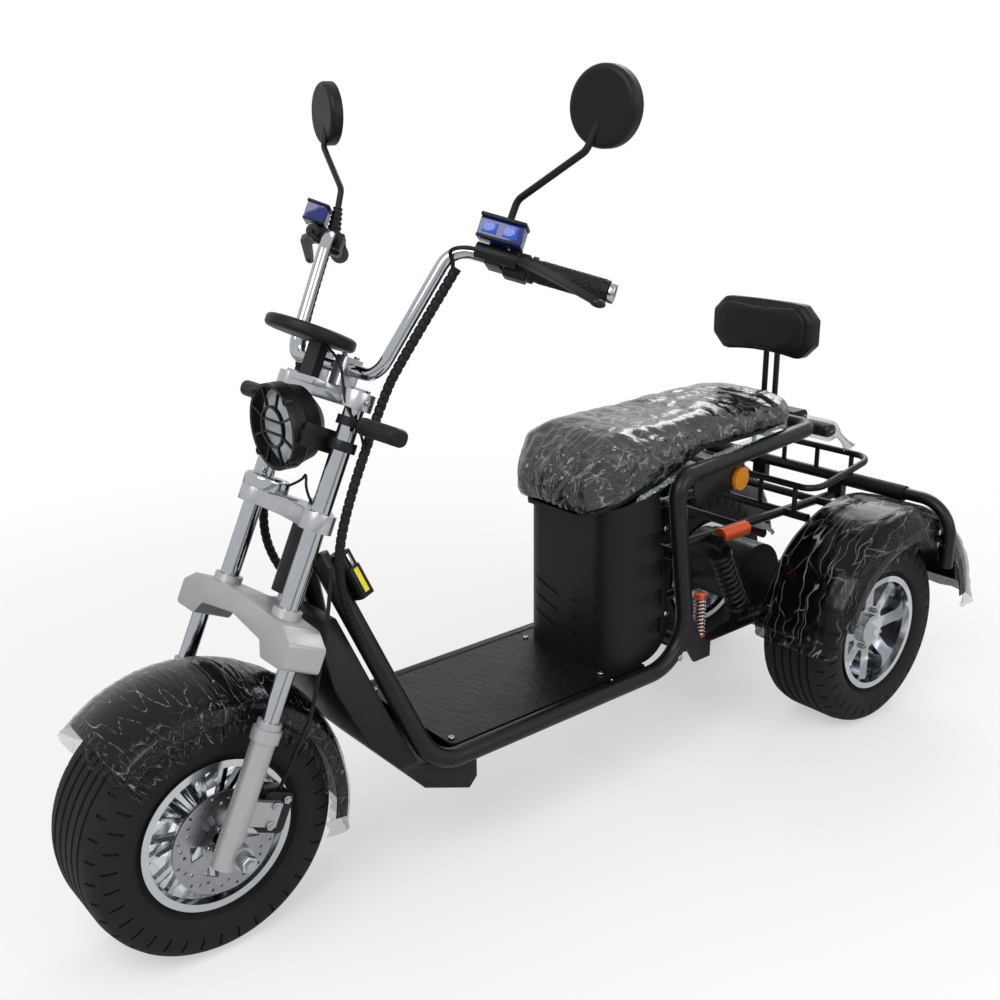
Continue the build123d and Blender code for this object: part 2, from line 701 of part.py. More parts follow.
# Brake caliper astride the disc, on the slider's lug
caliper_ahead = axle_offset - 62
slot_half = 8
with BuildPart(steer) as brake_caliper:
    with Locations((caliper_ahead, caliper_out, 66)):
        Box(56, caliper_out - caliper_in, 74, align=(Align.CENTER, Align.MAX, Align.CENTER))
    fillet(brake_caliper.edges().filter_by(Axis.Y), 10)
    with Locations((axle_offset, disc_y, 0)):
        Cylinder(disc_radius + 6, 2 * slot_half, rotation=(90, 0, 0), mode=Mode.SUBTRACT)
brake_caliper.part.label = "brake_caliper"
export_step(brake_caliper.part, "parts/brake_caliper.step")

# Wrapped harness from each bar end down past the fork to the neck
harness_radius = 9
harness_half = upper_tube_half + upper_tube_radius + harness_radius + 1.5
neck_top = on_fork(-18, 28, head_low + 82)
neck_foot = Vector(front_x - 400, frame_half, deck_rail_z)
neck_run = (neck_top - neck_foot).normalized()
neck_aside = Vector(0.5, 0.9, 0)
neck_aside = (neck_aside - neck_run * neck_aside.dot(neck_run)).normalized()
harness_foot = neck_top - neck_run * 170 + neck_aside * (frame_tube_radius + harness_radius + seat_gap)
harness_points = [
    on_fork(22, upper_tube_half + 95, bar_level + 209),
    on_fork(42, harness_half + 29, bar_level + 36),
    on_fork(32, harness_half, tube_top),
    on_fork(32, harness_half, mid_yoke_low + 20),
    on_fork(-8, harness_half - 5, head_low + 52),
    harness_foot + neck_run * 40,
    harness_foot,
]
harness_left = bent_tube(harness_points, [60, 60, 60, 40, 30], harness_radius)
with BuildPart() as bar_harness:
    add(harness_left)
    mirror(about=Plane.XZ)
bar_harness.part.label = "bar_harness"
export_step(bar_harness.part, "parts/bar_harness.step")

# Front brake hose from the caliper up behind the leg to the crown
hose_points = [
    on_fork(caliper_ahead, leg_half - 29, 104),
    on_fork(caliper_ahead + 8, leg_half - 7, 190),
    on_fork(4, leg_half + 19, crown_low - 27),
    on_fork(8, leg_half - 7, head_low + 2),
    on_fork(24, leg_half - 23, head_low + 82),
]
hose_tube = bent_tube(hose_points, [50, 60, 60], 3.5)
with BuildPart() as brake_hose:
    add(hose_tube)
brake_hose.part.label = "brake_hose"
export_step(brake_hose.part, "parts/brake_hose.step")

# Neck: head tube on the steering axis and two down tubes that spread to the deck rails
head_radius = 30
neck_end = Vector(front_x - 472, frame_half, deck_rail_z)
down_tube = bent_tube([neck_top, neck_foot, neck_end], [80], frame_tube_radius)
with BuildPart() as frame_neck:
    add(down_tube)
    mirror(about=Plane.XZ)
    with BuildSketch(steer.offset(head_low)):
        Circle(head_radius)
    extrude(amount=head_high - head_low)
    with BuildSketch(steer.offset(head_low - 40)):
        Circle(stem_radius + shaft_gap)
    extrude(amount=head_high - head_low + 80, mode=Mode.SUBTRACT)
frame_neck.part.label = "frame_neck"
export_step(frame_neck.part, "parts/frame_neck.step")

# Deck rails with flat cross members, and a plate level with the deck for the body to stand on
deck_thick = 6
rail_back = rear_x + 612
rail_front = front_x - 472
member_top = deck_top - deck_thick
member_low = member_top - 20
deck_back = rear_x + 692
deck_under = 95
deck_front = front_x - 456
rail_bulge = sqrt(frame_tube_radius ** 2 - (member_top - deck_rail_z) ** 2)
deck_half = frame_half - rail_bulge - seat_gap
member_stations = [deck_front - 40, (deck_front + deck_back) / 2, deck_back + 30, rail_back + 25]
with BuildPart() as frame_deck:
    with BuildSketch(Plane.YZ.offset(rail_back)):
        with Locations((frame_half, deck_rail_z), (-frame_half, deck_rail_z)):
            Circle(frame_tube_radius)
    extrude(amount=rail_front - rail_back)
    for station in member_stations:
        with Locations((station, 0, member_top)):
            Box(30, 2 * frame_half, member_top - member_low, align=(Align.CENTER, Align.CENTER, Align.MAX))
    with Locations((deck_back - seat_gap, 0, member_top)):
        Box(deck_under, 2 * deck_half, deck_thick, align=(Align.MAX, Align.CENTER, Align.MIN))
frame_deck.part.label = "frame_deck"
export_step(frame_deck.part, "parts/frame_deck.step")

with BuildPart() as deck_plate:
    with BuildSketch(Plane.XY.offset(member_top)):
        with Locations(((deck_front + deck_back) / 2, 0)):
            RectangleRounded(deck_front - deck_back, 2 * deck_half, 12)
    extrude(amount=deck_thick)
deck_plate.part.label = "deck_plate"
export_step(deck_plate.part, "parts/deck_plate.step")

# Rear loops: up behind the body, back under the seat and across the rear
upright_x = rear_x + 475
loop_lean = 60
loop_bend = 105
seat_rail_front_z = 672
seat_rail_back_z = 690
seat_rail_x = rear_x + 10
seat_rail_half = 125
ladder_half = 118
rear_fender_z = axle_z + 6
rear_fender_top = rear_fender_z + rear_fender_radius
ladder_z = rear_fender_top - 40
ladder_radius = 11
rung_radius = 10
rung_half = 190
hoop_x = rear_x - 130
ladder_back = hoop_x + 14
rack_front = rear_x + 92
rung_stations = [rear_x + 255, rack_front, rear_x - 40]
shock_top = Vector(rear_x + 376, 150, ladder_z)


def loop_x(z):
    return upright_x + loop_lean * (z - deck_rail_z) / (seat_rail_front_z - deck_rail_z)


ladder_front = loop_x(ladder_z)
left_loop = [
    Vector(rail_back, frame_half, deck_rail_z),
    Vector(upright_x, frame_half, deck_rail_z),
    Vector(upright_x + loop_lean, frame_half, seat_rail_front_z),
    Vector(seat_rail_x, seat_rail_half, seat_rail_back_z),
]
loop_points = left_loop + [mirrored(point) for point in reversed(left_loop)]
loop_tube = bent_tube(loop_points, [loop_bend, 45, 40, 40, 45, loop_bend], frame_tube_radius)
ladder_start = (ladder_front, ladder_half, ladder_z)
ladder_end = (ladder_back, ladder_half, ladder_z)
ladder_rail = straight_tube(ladder_start, ladder_end, ladder_radius)
arm_radius = 14
arm_z = axle_z + arm_radius
upright_in = frame_half - frame_tube_radius - seat_gap
pivot_plate = [
    (upright_x - 80, arm_z - 17),
    (upright_x - 80, arm_z + 19),
    (upright_x - 50, arm_z + 32),
    (upright_x - 13, arm_z + 102),
    (upright_x + 10, arm_z + 102),
    (upright_x + 20, arm_z + 57),
    (upright_x - 28, arm_z - 17),
]
with BuildPart() as frame_loops:
    with BuildSketch(Plane.XZ.offset(-158)):
        with BuildLine():
            Polyline(*pivot_plate, close=True)
        make_face()
    extrude(amount=-8)
    mirror(about=Plane.XZ)
    add(loop_tube)
frame_loops.part.label = "frame_loops"
export_step(frame_loops.part, "parts/frame_loops.step")

# Ladder sub-frame between the uprights and the hoop, with the damper pins
with BuildPart() as frame_ladder:
    add(ladder_rail)
    with BuildSketch(Plane.XZ.offset(-ladder_half)):
        with Locations((shock_top.X, shock_top.Z)):
            Circle(8)
    extrude(amount=ladder_half - shock_top.Y - 26)
    mirror(about=Plane.XZ)
    with BuildSketch(Plane.XZ.offset(-upright_in)):
        with Locations((ladder_front, ladder_z)):
            Circle(14)
    extrude(amount=2 * upright_in)
    with BuildSketch(Plane.XZ.offset(-rung_half)):
        with Locations(*[(station, ladder_z) for station in rung_stations]):
            Circle(rung_radius)
    extrude(amount=2 * rung_half)
frame_ladder.part.label = "frame_ladder"
export_step(frame_ladder.part, "parts/frame_ladder.step")

# Neck fairing: a shell in front of and under the neck, narrow at the head and as wide as the tubes below
fairing_gap = 29.5
fairing_top = on_fork(0, 0, head_low).Z - 43.8
fairing_waist = deck_rail_z + 73
fairing_foot = neck_foot.X


def neck_x(z):
    return neck_foot.X + (neck_top.X - neck_foot.X) * (z - neck_foot.Z) / (neck_top.Z - neck_foot.Z)


def before_neck(depth, z):
    return neck_x(z) + fairing_gap + depth, z


fairing_front = [
    before_neck(27.4, fairing_top),
    before_neck(57.4, fairing_top - 48),
    before_neck(74.8, fairing_top - 118),
    (front_x - fender_crown - 4, fairing_waist),
    (fairing_foot + 6, deck_rail_z - 55),
    (fairing_foot - 100, deck_rail_z - 97),
    (fairing_foot - 119, deck_rail_z - 77),
]
fairing_back = [
    (fairing_foot - 119, member_low),
    (fairing_foot - 20, member_low),
    (fairing_foot + 25, deck_rail_z + 5),
    before_neck(0, deck_rail_z + 85),
    before_neck(0, fairing_top - 68),
    before_neck(0, fairing_top),
]
fairing_widths = [
    (62, fairing_top + 12),
    (80, fairing_top - 43),
    (105, fairing_top - 118),
    (143, fairing_waist),
    (160, deck_rail_z + 17),
    (148, deck_rail_z - 5),
    (148, deck_rail_z - 115),
]
with BuildPart() as neck_fairing:
    with BuildSketch(Plane.XZ.offset(-200)):
        with BuildLine():
            Polyline(*fairing_front, *fairing_back, close=True)
        make_face()
    extrude(amount=400)
    with BuildSketch(Plane.YZ.offset(front_x - 700)):
        with BuildLine():
            Polyline(*fairing_widths, *[(-y, z) for y, z in reversed(fairing_widths)], close=True)
        make_face()
    extrude(amount=700, mode=Mode.INTERSECT)
neck_fairing.part.label = "neck_fairing"
export_step(neck_fairing.part, "parts/neck_fairing.step")

# Key box strapped behind the left down tube
key_plane = Plane(neck_top - neck_run * 62, x_dir=(1, 0, 0.33), z_dir=neck_run)
with BuildPart(key_plane) as key_box:
    with Locations((-frame_tube_radius - seat_gap, 6, 0)):
        Box(30, 44, 92, align=(Align.MAX, Align.CENTER, Align.CENTER))
    fillet(key_box.edges().filter_by(Axis(neck_top, neck_run)), 7)
key_box.part.label = "key_box"
export_step(key_box.part, "parts/key_box.step")

# Seat pan line: level at the back, sloping down to the nose
pan_line = [(rear_x + 85, 711), (rear_x + 420, 711), (rear_x + 500, 680), (rear_x + 735, 608)]
pan_thick = 9


def pan_slope_z(x):
    (x0, z0), (x1, z1) = pan_line[2:]
    return z0 + (z1 - z0) * (x - x0) / (x1 - x0)


# Body shell under the seat: rounded front corners, a back edge that follows the loop tubes,
# a column of pockets that deepen to the rear on each side, and slanted grooves in front
shell_front = deck_back - 0.5
shell_wall = 4
shell_corner = 60
shell_heel = 80
loop_clear = frame_tube_radius + 7


def shell_block(inset, rise):
    low = deck_top - rise
    back_high = 660
    back_top = loop_x(back_high) + loop_clear + inset
    outline = [
        (shell_front - inset, low),
        (shell_front - inset, pan_slope_z(shell_front) - 0.5 + rise),
        (back_top, pan_slope_z(back_top) - 0.5 + rise),
        (loop_x(low) + loop_clear + inset, low),
    ]
    half = body_half - inset
    with BuildPart() as block:
        with BuildSketch(Plane.XZ.offset(-half)):
            with BuildLine():
                Polyline(*outline, close=True)
            make_face()
            fillet(vertices().sort_by(Axis.X)[0], shell_heel - inset)
        extrude(amount=2 * half)
        fillet(block.edges().filter_by(Axis.Z).group_by(Axis.X)[-1], shell_corner - inset)
    return block.part


pocket_count = 4
pocket_pitch = 67
pocket_height = 48
pocket_depth = 7
pocket_length = 92
pocket_ramp = 16
pocket_back = loop_x(deck_top) + loop_clear + 36
pocket_low = deck_top + 70
pocket_run = Vector(pocket_length, pocket_depth, 0).normalized()
pocket_out = Vector(-pocket_run.Y, pocket_run.X, 0)
groove_rise = 18
groove_length = 88
groove_tall = 9
groove_depth = 2.5
groove_centres = [(62, deck_top + 149), (66, deck_top + 111), (70, deck_top + 73)]

with BuildPart() as shell_room:
    add(shell_block(shell_wall, 12))
    with Locations((pocket_back - 8, body_half, pocket_low - 30)):
        Box(pocket_length + 24, pocket_depth + 2 * shell_wall, pocket_count * pocket_pitch + 30,
            align=(Align.MIN, Align.MAX, Align.MIN), mode=Mode.SUBTRACT)
    split(bisect_by=Plane.XZ, keep=Keep.BOTTOM)
    mirror(about=Plane.XZ)

with BuildPart() as shell_pockets:
    for row in range(pocket_count):
        middle = Vector(pocket_back, body_half, pocket_low + row * pocket_pitch)
        with BuildSketch(Plane(middle, x_dir=pocket_out, z_dir=pocket_run)):
            with BuildLine():
                Polyline((-pocket_depth, pocket_height / 2), (pocket_depth, pocket_height / 2),
                         (pocket_depth, -pocket_height / 2), (0, -pocket_height / 2),
                         (-pocket_depth, pocket_ramp - pocket_height / 2), close=True)
            make_face()
        extrude(amount=pocket_length + 6)
    with BuildSketch(Plane.YZ.offset(shell_front)):
        for groove_y, groove_z in groove_centres:
            with Locations((groove_y, groove_z)):
                SlotOverall(groove_length, groove_tall, rotation=groove_rise)
    extrude(amount=-groove_depth)
    mirror(about=Plane.XZ)

with BuildPart() as body_shell:
    add(shell_block(0, 0))
    add(shell_room.part, mode=Mode.SUBTRACT)
    add(shell_pockets.part, mode=Mode.SUBTRACT)
body_shell.part.label = "body_shell"
export_step(body_shell.part, "parts/body_shell.step")

# Battery block inside the body shell, on the frame's plate
with BuildPart() as battery:
    with Locations((shell_front - 18, 0, deck_top)):
        Box(92, 240, 330, align=(Align.MAX, Align.CENTER, Align.MIN))
battery.part.label = "battery"
export_step(battery.part, "parts/battery.step")

# Seat: side, end and plan outlines of the cushion share the pan line; the nose narrows to the front
nose_x = rear_x + 770
nose_half = 20
seat_side = [(x, z + pan_thick) for x, z in pan_line] + [
    (nose_x - 14, 630),
    (nose_x, 668),
    (nose_x - 8, 715),
    (nose_x - 35, 752),
    (nose_x - 75, 770),
    (nose_x - 170, 768),
    (nose_x - 320, 767),
    (nose_x - 440, 776),
    (nose_x - 590, 785),
    (nose_x - 660, 777),
    (rear_x + 85, 752),
]
seat_end = [
    (seat_half, 560),
    (seat_half, 694),
    (seat_half - 12, 736),
    (seat_half - 32, 764),
    (seat_half - 84, 780),
]
seat_plan = [
    (rear_x + 85, seat_half - 40),
    (rear_x + 125, seat_half - 8),
    (rear_x + 200, seat_half),
    (nose_x - 170, seat_half),
    (nose_x - 100, seat_half - 10),
    (nose_x - 45, seat_half - 36),
    (nose_x - 12, seat_half - 78),
    (nose_x + 1, nose_half),
]


def seat_edge(inset):
    left = [(x - inset, y - inset) for x, y in seat_plan[1:]]
    left.insert(0, (seat_plan[0][0], seat_plan[0][1] - inset))
    return left + [(x, -y) for x, y in reversed(left)]


with BuildPart() as seat_pan:
    with BuildSketch(Plane.XZ.offset(-seat_half)):
        with BuildLine():
            Polyline(*pan_line, *[(x, z + pan_thick) for x, z in reversed(pan_line)], close=True)
        make_face()
    extrude(amount=2 * seat_half)
    with BuildSketch(Plane.XY.offset(500)):
        with BuildLine():
            Polyline(*seat_edge(12), close=True)
        make_face()
    extrude(amount=300, mode=Mode.INTERSECT)
seat_pan.part.label = "seat_pan"
export_step(seat_pan.part, "parts/seat_pan.step")

with BuildPart() as seat_cushion:
    with BuildSketch(Plane.XZ.offset(-seat_half)):
        with BuildLine():
            Polyline(*seat_side, close=True)
        make_face()
    extrude(amount=2 * seat_half)
    with BuildSketch(Plane.YZ.offset(rear_x)):
        with BuildLine():
            Polyline(*seat_end, (0, 786), *[(-y, z) for y, z in reversed(seat_end)], close=True)
        make_face()
    extrude(amount=nose_x - rear_x + 50, mode=Mode.INTERSECT)
    with BuildSketch(Plane.XY.offset(500)):
        with BuildLine():
            Polyline(*seat_edge(0), close=True)
        make_face()
    extrude(amount=400, mode=Mode.INTERSECT)
seat_cushion.part.label = "seat_cushion"
export_step(seat_cushion.part, "parts/seat_cushion.step")

# Backrest on two posts from the rear of the seat rail
post_x = seat_rail_x + 6
post_half = 16
post_radius = 7
back_low = 858
back_high = 984
back_half = 147
back_in = post_x + post_radius + 9
with BuildPart() as backrest_posts:
    with BuildSketch(Plane.XY.offset(seat_rail_back_z + frame_tube_radius + seat_gap)):
        with Locations((post_x, post_half), (post_x, -post_half)):
            Circle(post_radius)
    extrude(amount=back_low + 80 - seat_rail_back_z - frame_tube_radius)
    with Locations((back_in, 0, back_low + 60)):
        Box(12, 120, 60, align=(Align.MAX, Align.CENTER, Align.CENTER))
backrest_posts.part.label = "backrest_posts"
export_step(backrest_posts.part, "parts/backrest_posts.step")

with BuildPart() as backrest_pad:
    with BuildSketch(Plane.YZ.offset(back_in)):
        with Locations((0, (back_low + back_high) / 2)):
            Rectangle(2 * back_half, back_high - back_low)
        chamfer(vertices(), 34)
    extrude(amount=46)
    fillet(backrest_pad.faces().sort_by(Axis.X)[-1].edges(), 14)
backrest_pad.part.label = "backrest_pad"
export_step(backrest_pad.part, "parts/backrest_pad.step")

# Fender hoop across the rear, with plates down to the ladder rails
hoop_z = rear_fender_top + 2
hoop_half = 428
hoop_radius = 14
hoop_foot_z = hoop_z - 152
hoop_points = [
    (hoop_x, hoop_half, hoop_foot_z),
    (hoop_x, hoop_half, hoop_z),
    (hoop_x, -hoop_half, hoop_z),
    (hoop_x, -hoop_half, hoop_foot_z),
]
hoop_tube = bent_tube(hoop_points, [80, 80], hoop_radius)
with BuildPart() as fender_hoop:
    add(hoop_tube)
    with Locations((ladder_back, ladder_half, ladder_z - 12), (ladder_back, -ladder_half, ladder_z - 12)):
        Box(20, 40, hoop_z - ladder_z + 10, align=(Align.MAX, Align.CENTER, Align.MIN))
fender_hoop.part.label = "fender_hoop"
export_step(fender_hoop.part, "parts/fender_hoop.step")

# Rack ring behind the seat, on posts to the ladder rung and the hoop
rack_half = 205
rack_radius = 8
rack_front_z = ladder_z + 71
rack_back_z = hoop_z + 67
rack_post_ys = [-150, -50, 50, 150]
rack_corners = [
    (rack_front, rack_half, rack_front_z),
    (hoop_x, rack_half, rack_back_z),
    (hoop_x, -rack_half, rack_back_z),
    (rack_front, -rack_half, rack_front_z),
]
with BuildPart() as rack_ring:
    with BuildLine() as rack_path:
        FilletPolyline(*rack_corners, radius=40, close=True)
    with BuildSketch(Plane(rack_path.line @ 0, z_dir=rack_path.line % 0)):
        Circle(rack_radius)
    sweep()
    with BuildSketch(Plane.XY.offset(ladder_z + rung_radius + seat_gap)):
        with Locations(*[(rack_front, y) for y in rack_post_ys]):
            Circle(6)
    extrude(amount=rack_front_z - ladder_z - rung_radius)
    with BuildSketch(Plane.XY.offset(hoop_z + hoop_radius + seat_gap)):
        with Locations(*[(hoop_x, y) for y in rack_post_ys]):
            Circle(6)
    extrude(amount=rack_back_z - hoop_z - hoop_radius)
rack_ring.part.label = "rack_ring"
export_step(rack_ring.part, "parts/rack_ring.step")

# Rear fenders: bands round the wheels with an outer skirt and a pad at the hoop's foot
rear_fender_in = 200
rear_fender_out = 412
rear_fender_skirt = rear_fender_radius - 67
rear_fender_start = 18
rear_fender_sweep = 152
rear_fender_x = rear_x - rear_fender_back
rear_fender_angle = radians(rear_fender_start)
rear_fender_plane = Plane((rear_fender_x, 0, rear_fender_z), x_dir=(0, 1, 0),
                          z_dir=(sin(rear_fender_angle), 0, -cos(rear_fender_angle)))
rear_fender_outer = [
    (rear_fender_in, rear_fender_radius - 18),
    (rear_fender_in + 14, rear_fender_radius - 4),
    (rear_fender_in + 70, rear_fender_radius),
    (rear_fender_out - 50, rear_fender_radius),
    (rear_fender_out - 12, rear_fender_radius - 16),
    (rear_fender_out, rear_fender_radius - 44),
    (rear_fender_out, rear_fender_skirt),
]
rear_fender_inner = [
    (rear_fender_out - 3, rear_fender_skirt),
    (rear_fender_out - 3, rear_fender_radius - 44),
    (rear_fender_out - 14, rear_fender_radius - 18.5),
    (rear_fender_out - 51, rear_fender_radius - 3),
    (rear_fender_in + 70, rear_fender_radius - 3),
    (rear_fender_in + 15, rear_fender_radius - 7),
    (rear_fender_in + 3, rear_fender_radius - 18),
]
with BuildPart() as rear_fenders:
    with BuildSketch(rear_fender_plane):
        with BuildLine():
            Polyline(*rear_fender_outer, *rear_fender_inner, close=True)
        make_face()
    revolve(axis=Axis((rear_fender_x, 0, rear_fender_z), (0, -1, 0)), revolution_arc=rear_fender_sweep)
    with Locations((hoop_x, hoop_half - hoop_radius - seat_gap, hoop_foot_z + 44)):
        Box(24, hoop_half - hoop_radius - rear_fender_out + 2, 60,
            align=(Align.CENTER, Align.MAX, Align.CENTER))
    mirror(about=Plane.XZ)
rear_fenders.part.label = "rear_fenders"
export_step(rear_fenders.part, "parts/rear_fenders.step")

# Rear axle housing with the gear case in the middle
housing_radius = 28
motor_radius = 80
motor_x = rear_x + 136
motor_z = axle_z + 103
gear_reach = (Vector(motor_x, 0, motor_z) - Vector(rear_x, 0, axle_z)).length
gear_radius = gear_reach - motor_radius - seat_gap
with BuildPart() as axle_housing:
    with BuildSketch(Plane.XZ.offset(-housing_end)):
        with Locations((rear_x, axle_z)):
            Circle(housing_radius)
    extrude(amount=2 * housing_end)
    with BuildSketch(Plane.XZ.offset(-55)):
        with Locations((rear_x, axle_z)):
            Circle(gear_radius)
    extrude(amount=110)
    fillet(axle_housing.edges().filter_by(GeomType.CIRCLE).filter_by(lambda e: e.radius > 60), 16)
    for side in (1, -1):
        with BuildSketch(Plane.XZ.offset(-side * (housing_end + 1))):
            with Locations((rear_x, axle_z)):
                Circle(rear_shaft_radius + shaft_gap)
        extrude(amount=side * (shaft_depth + 6), mode=Mode.SUBTRACT)
axle_housing.part.label = "axle_housing"
export_step(axle_housing.part, "parts/axle_housing.step")

with BuildPart() as motor:
    with BuildSketch(Plane.XZ.offset(-90)):
        with Locations((motor_x, motor_z)):
            Circle(motor_radius)
    extrude(amount=180)
motor.part.label = "motor"
export_step(motor.part, "parts/motor.step")

# Swingarm tubes from the pivot lugs back to the axle housing
arm_half = 116
arm_front_x = rear_x + 430
arm_back_x = rear_x + housing_radius + seat_gap
damper_y = 150
damper_foot = Vector(rear_x + 276, damper_y, 300)
damper_eye_half = 15
with BuildPart() as swingarm:
    with BuildSketch(Plane.YZ.offset(arm_back_x)):
        with Locations((arm_half, arm_z), (-arm_half, arm_z)):
            Circle(arm_radius)
    extrude(amount=arm_front_x - arm_back_x)
    with BuildSketch(Plane.XZ.offset(-158 + seat_gap)):
        with Locations((arm_front_x - 14, arm_z)):
            Circle(arm_radius)
    extrude(amount=2 * (158 - seat_gap))
    for side in (1, -1):
        with Locations((damper_foot.X, side * (damper_y - damper_eye_half - 10), arm_z)):
            Box(30, 20, damper_foot.Z + 12 - arm_z, align=(Align.CENTER, Align.CENTER, Align.MIN))
swingarm.part.label = "swingarm"
export_step(swingarm.part, "parts/swingarm.step")

# Dampers lean forward from the swingarm to the ladder's pins
damper_top = Vector(shock_top.X, damper_y, shock_top.Z)
damper_run = (damper_top - damper_foot).normalized()
damper_length = (damper_top - damper_foot).length
damper_plane = Plane(damper_foot, x_dir=(0, 1, 0), z_dir=damper_run)
spring_start = 26
spring_end = damper_length - 44
spring_length = spring_end - spring_start
with BuildPart(damper_plane) as dampers:
    Cylinder(9, damper_length, align=(Align.CENTER, Align.CENTER, Align.MIN))
    with Locations((0, 0, spring_start - 8)):
        Cylinder(27, 8, align=(Align.CENTER, Align.CENTER, Align.MIN))
    with Locations((0, 0, spring_end)):
        Cylinder(27, 10, align=(Align.CENTER, Align.CENTER, Align.MIN))
    Cylinder(14, 2 * damper_eye_half, rotation=(0, 90, 0))
    with Locations((0, 0, damper_length)):
        Cylinder(15, 26, rotation=(0, 90, 0))
        Cylinder(8 + seat_gap, 40, rotation=(0, 90, 0), mode=Mode.SUBTRACT)
    mirror(about=Plane.XZ)
dampers.part.label = "dampers"
export_step(dampers.part, "parts/dampers.step")

with BuildPart(damper_plane) as damper_springs:
    with Locations((0, 0, spring_start)):
        Cylinder(26, spring_length, align=(Align.CENTER, Align.CENTER, Align.MIN))
        Cylinder(19, spring_length, align=(Align.CENTER, Align.CENTER, Align.MIN), mode=Mode.SUBTRACT)
    mirror(about=Plane.XZ)
damper_springs.part.label = "damper_springs"
export_step(damper_springs.part, "parts/damper_springs.step")

with BuildPart() as damper_cans:
    with BuildSketch(Plane.YZ.offset(shock_top.X - 15 - seat_gap)):
        with Locations((damper_y, shock_top.Z + 8)):
            Circle(17)
    extrude(amount=-88)
    mirror(about=Plane.XZ)
damper_cans.part.label = "damper_cans"
export_step(damper_cans.part, "parts/damper_cans.step")

# Helper springs standing on the swingarm
helper_low = arm_z + arm_radius + seat_gap
with BuildPart() as helper_springs:
    with BuildSketch(Plane.XY.offset(helper_low)):
        with Locations((rear_x + 385, arm_half + 6)):
            Circle(15)
    extrude(amount=104)
    mirror(about=Plane.XZ)
helper_springs.part.label = "helper_springs"
export_step(helper_springs.part, "parts/helper_springs.step")

# Side plates hung under the seat rails, each with a round reflector at its rear end
rail_start = Vector(upright_x + loop_lean, frame_half, seat_rail_front_z)
rail_end = Vector(seat_rail_x, seat_rail_half, seat_rail_back_z)
rail_run = (rail_end - rail_start).normalized()
rail_side = rail_run.cross(Vector(0, 0, 1)).normalized()
plate_plane = Plane(rail_start, x_dir=rail_run, z_dir=rail_side)
plate_start = 62
plate_end = 248
plate_thick = 4
plate_top = -frame_tube_radius - seat_gap
plate_drop = 52
reflector_radius = 26
with BuildPart() as side_plates:
    with BuildSketch(plate_plane.offset(-plate_thick / 2)):
        with BuildLine():
            Polyline((plate_start, plate_top), (plate_end, plate_top), (plate_end, plate_top - plate_drop),
                     (plate_start + 20, plate_top - plate_drop - 6), (plate_start, plate_top - 30),
                     close=True)
        make_face()
    extrude(amount=plate_thick)
    mirror(about=Plane.XZ)
side_plates.part.label = "side_plates"
export_step(side_plates.part, "parts/side_plates.step")

with BuildPart() as side_reflectors:
    with BuildSketch(plate_plane.offset(plate_thick / 2 + seat_gap)):
        with Locations((plate_end - 22, plate_top - 32)):
            Circle(reflector_radius)
    extrude(amount=9)
    mirror(about=Plane.XZ)
side_reflectors.part.label = "side_reflectors"
export_step(side_reflectors.part, "parts/side_reflectors.step")

# Tail lamp behind the seat rail with a signal on each side
tail_x = seat_rail_x - frame_tube_radius - seat_gap
tail_z = 684
with BuildPart() as rear_lamps:
    with Locations((tail_x, 0, tail_z)):
        Box(64, 104, 50, align=(Align.MAX, Align.CENTER, Align.CENTER))
    fillet(rear_lamps.edges().filter_by(Axis.Y), 14)
    with BuildSketch(Plane.XZ.offset(-50)):
        with Locations((tail_x - 36, tail_z - 10)):
            Circle(6)
    extrude(amount=-22)
    with BuildSketch(Plane.XZ.offset(-66)):
        with Locations((tail_x - 36, tail_z - 10)):
            RectangleRounded(40, 30, 13)
    extrude(amount=-80)
    fillet(rear_lamps.faces().sort_by(Axis.Y)[-1].edges(), 9)
    mirror(about=Plane.XZ)
rear_lamps.part.label = "rear_lamps"
export_step(rear_lamps.part, "parts/rear_lamps.step")
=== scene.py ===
import json
from math import atan2, cos, pi, radians, sin
import bpy
from mathutils import Matrix, Vector, noise


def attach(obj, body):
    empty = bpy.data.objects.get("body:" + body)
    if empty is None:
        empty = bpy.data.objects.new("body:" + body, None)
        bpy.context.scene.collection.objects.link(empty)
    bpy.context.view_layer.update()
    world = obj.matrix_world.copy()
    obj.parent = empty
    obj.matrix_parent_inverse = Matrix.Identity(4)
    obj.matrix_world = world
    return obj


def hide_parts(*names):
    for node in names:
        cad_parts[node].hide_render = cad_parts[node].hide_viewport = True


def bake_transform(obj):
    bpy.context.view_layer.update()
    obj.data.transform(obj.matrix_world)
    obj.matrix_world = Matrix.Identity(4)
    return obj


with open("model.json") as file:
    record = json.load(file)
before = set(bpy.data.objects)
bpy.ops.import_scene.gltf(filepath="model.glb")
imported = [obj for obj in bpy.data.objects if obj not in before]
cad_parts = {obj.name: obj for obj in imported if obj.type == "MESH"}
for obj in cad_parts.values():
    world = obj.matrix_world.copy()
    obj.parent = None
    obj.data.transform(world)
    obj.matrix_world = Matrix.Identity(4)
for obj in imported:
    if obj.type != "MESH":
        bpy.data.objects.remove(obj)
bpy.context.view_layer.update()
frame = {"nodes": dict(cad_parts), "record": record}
nodes = frame["nodes"]
scene = bpy.context.scene
scene.view_settings.view_transform = "Standard"
print("frame loaded", len(nodes), "nodes")


def linearColour(code):
    parts = [int(code[i:i + 2], 16) / 255 for i in (1, 3, 5)]
    return tuple(c / 12.92 if c <= 0.04045 else ((c + 0.055) / 1.055) ** 2.4 for c in parts) + (1.0,)


def addNode(tree, kind, values={}, links={}, **settings):
    node = tree.nodes.new("ShaderNode" + kind)
    for key, value in settings.items():
        setattr(node, key, value)
    for socket, value in values.items():
        node.inputs[socket].default_value = value
    for socket, source in links.items():
        tree.links.new(source, node.inputs[socket])
    return node


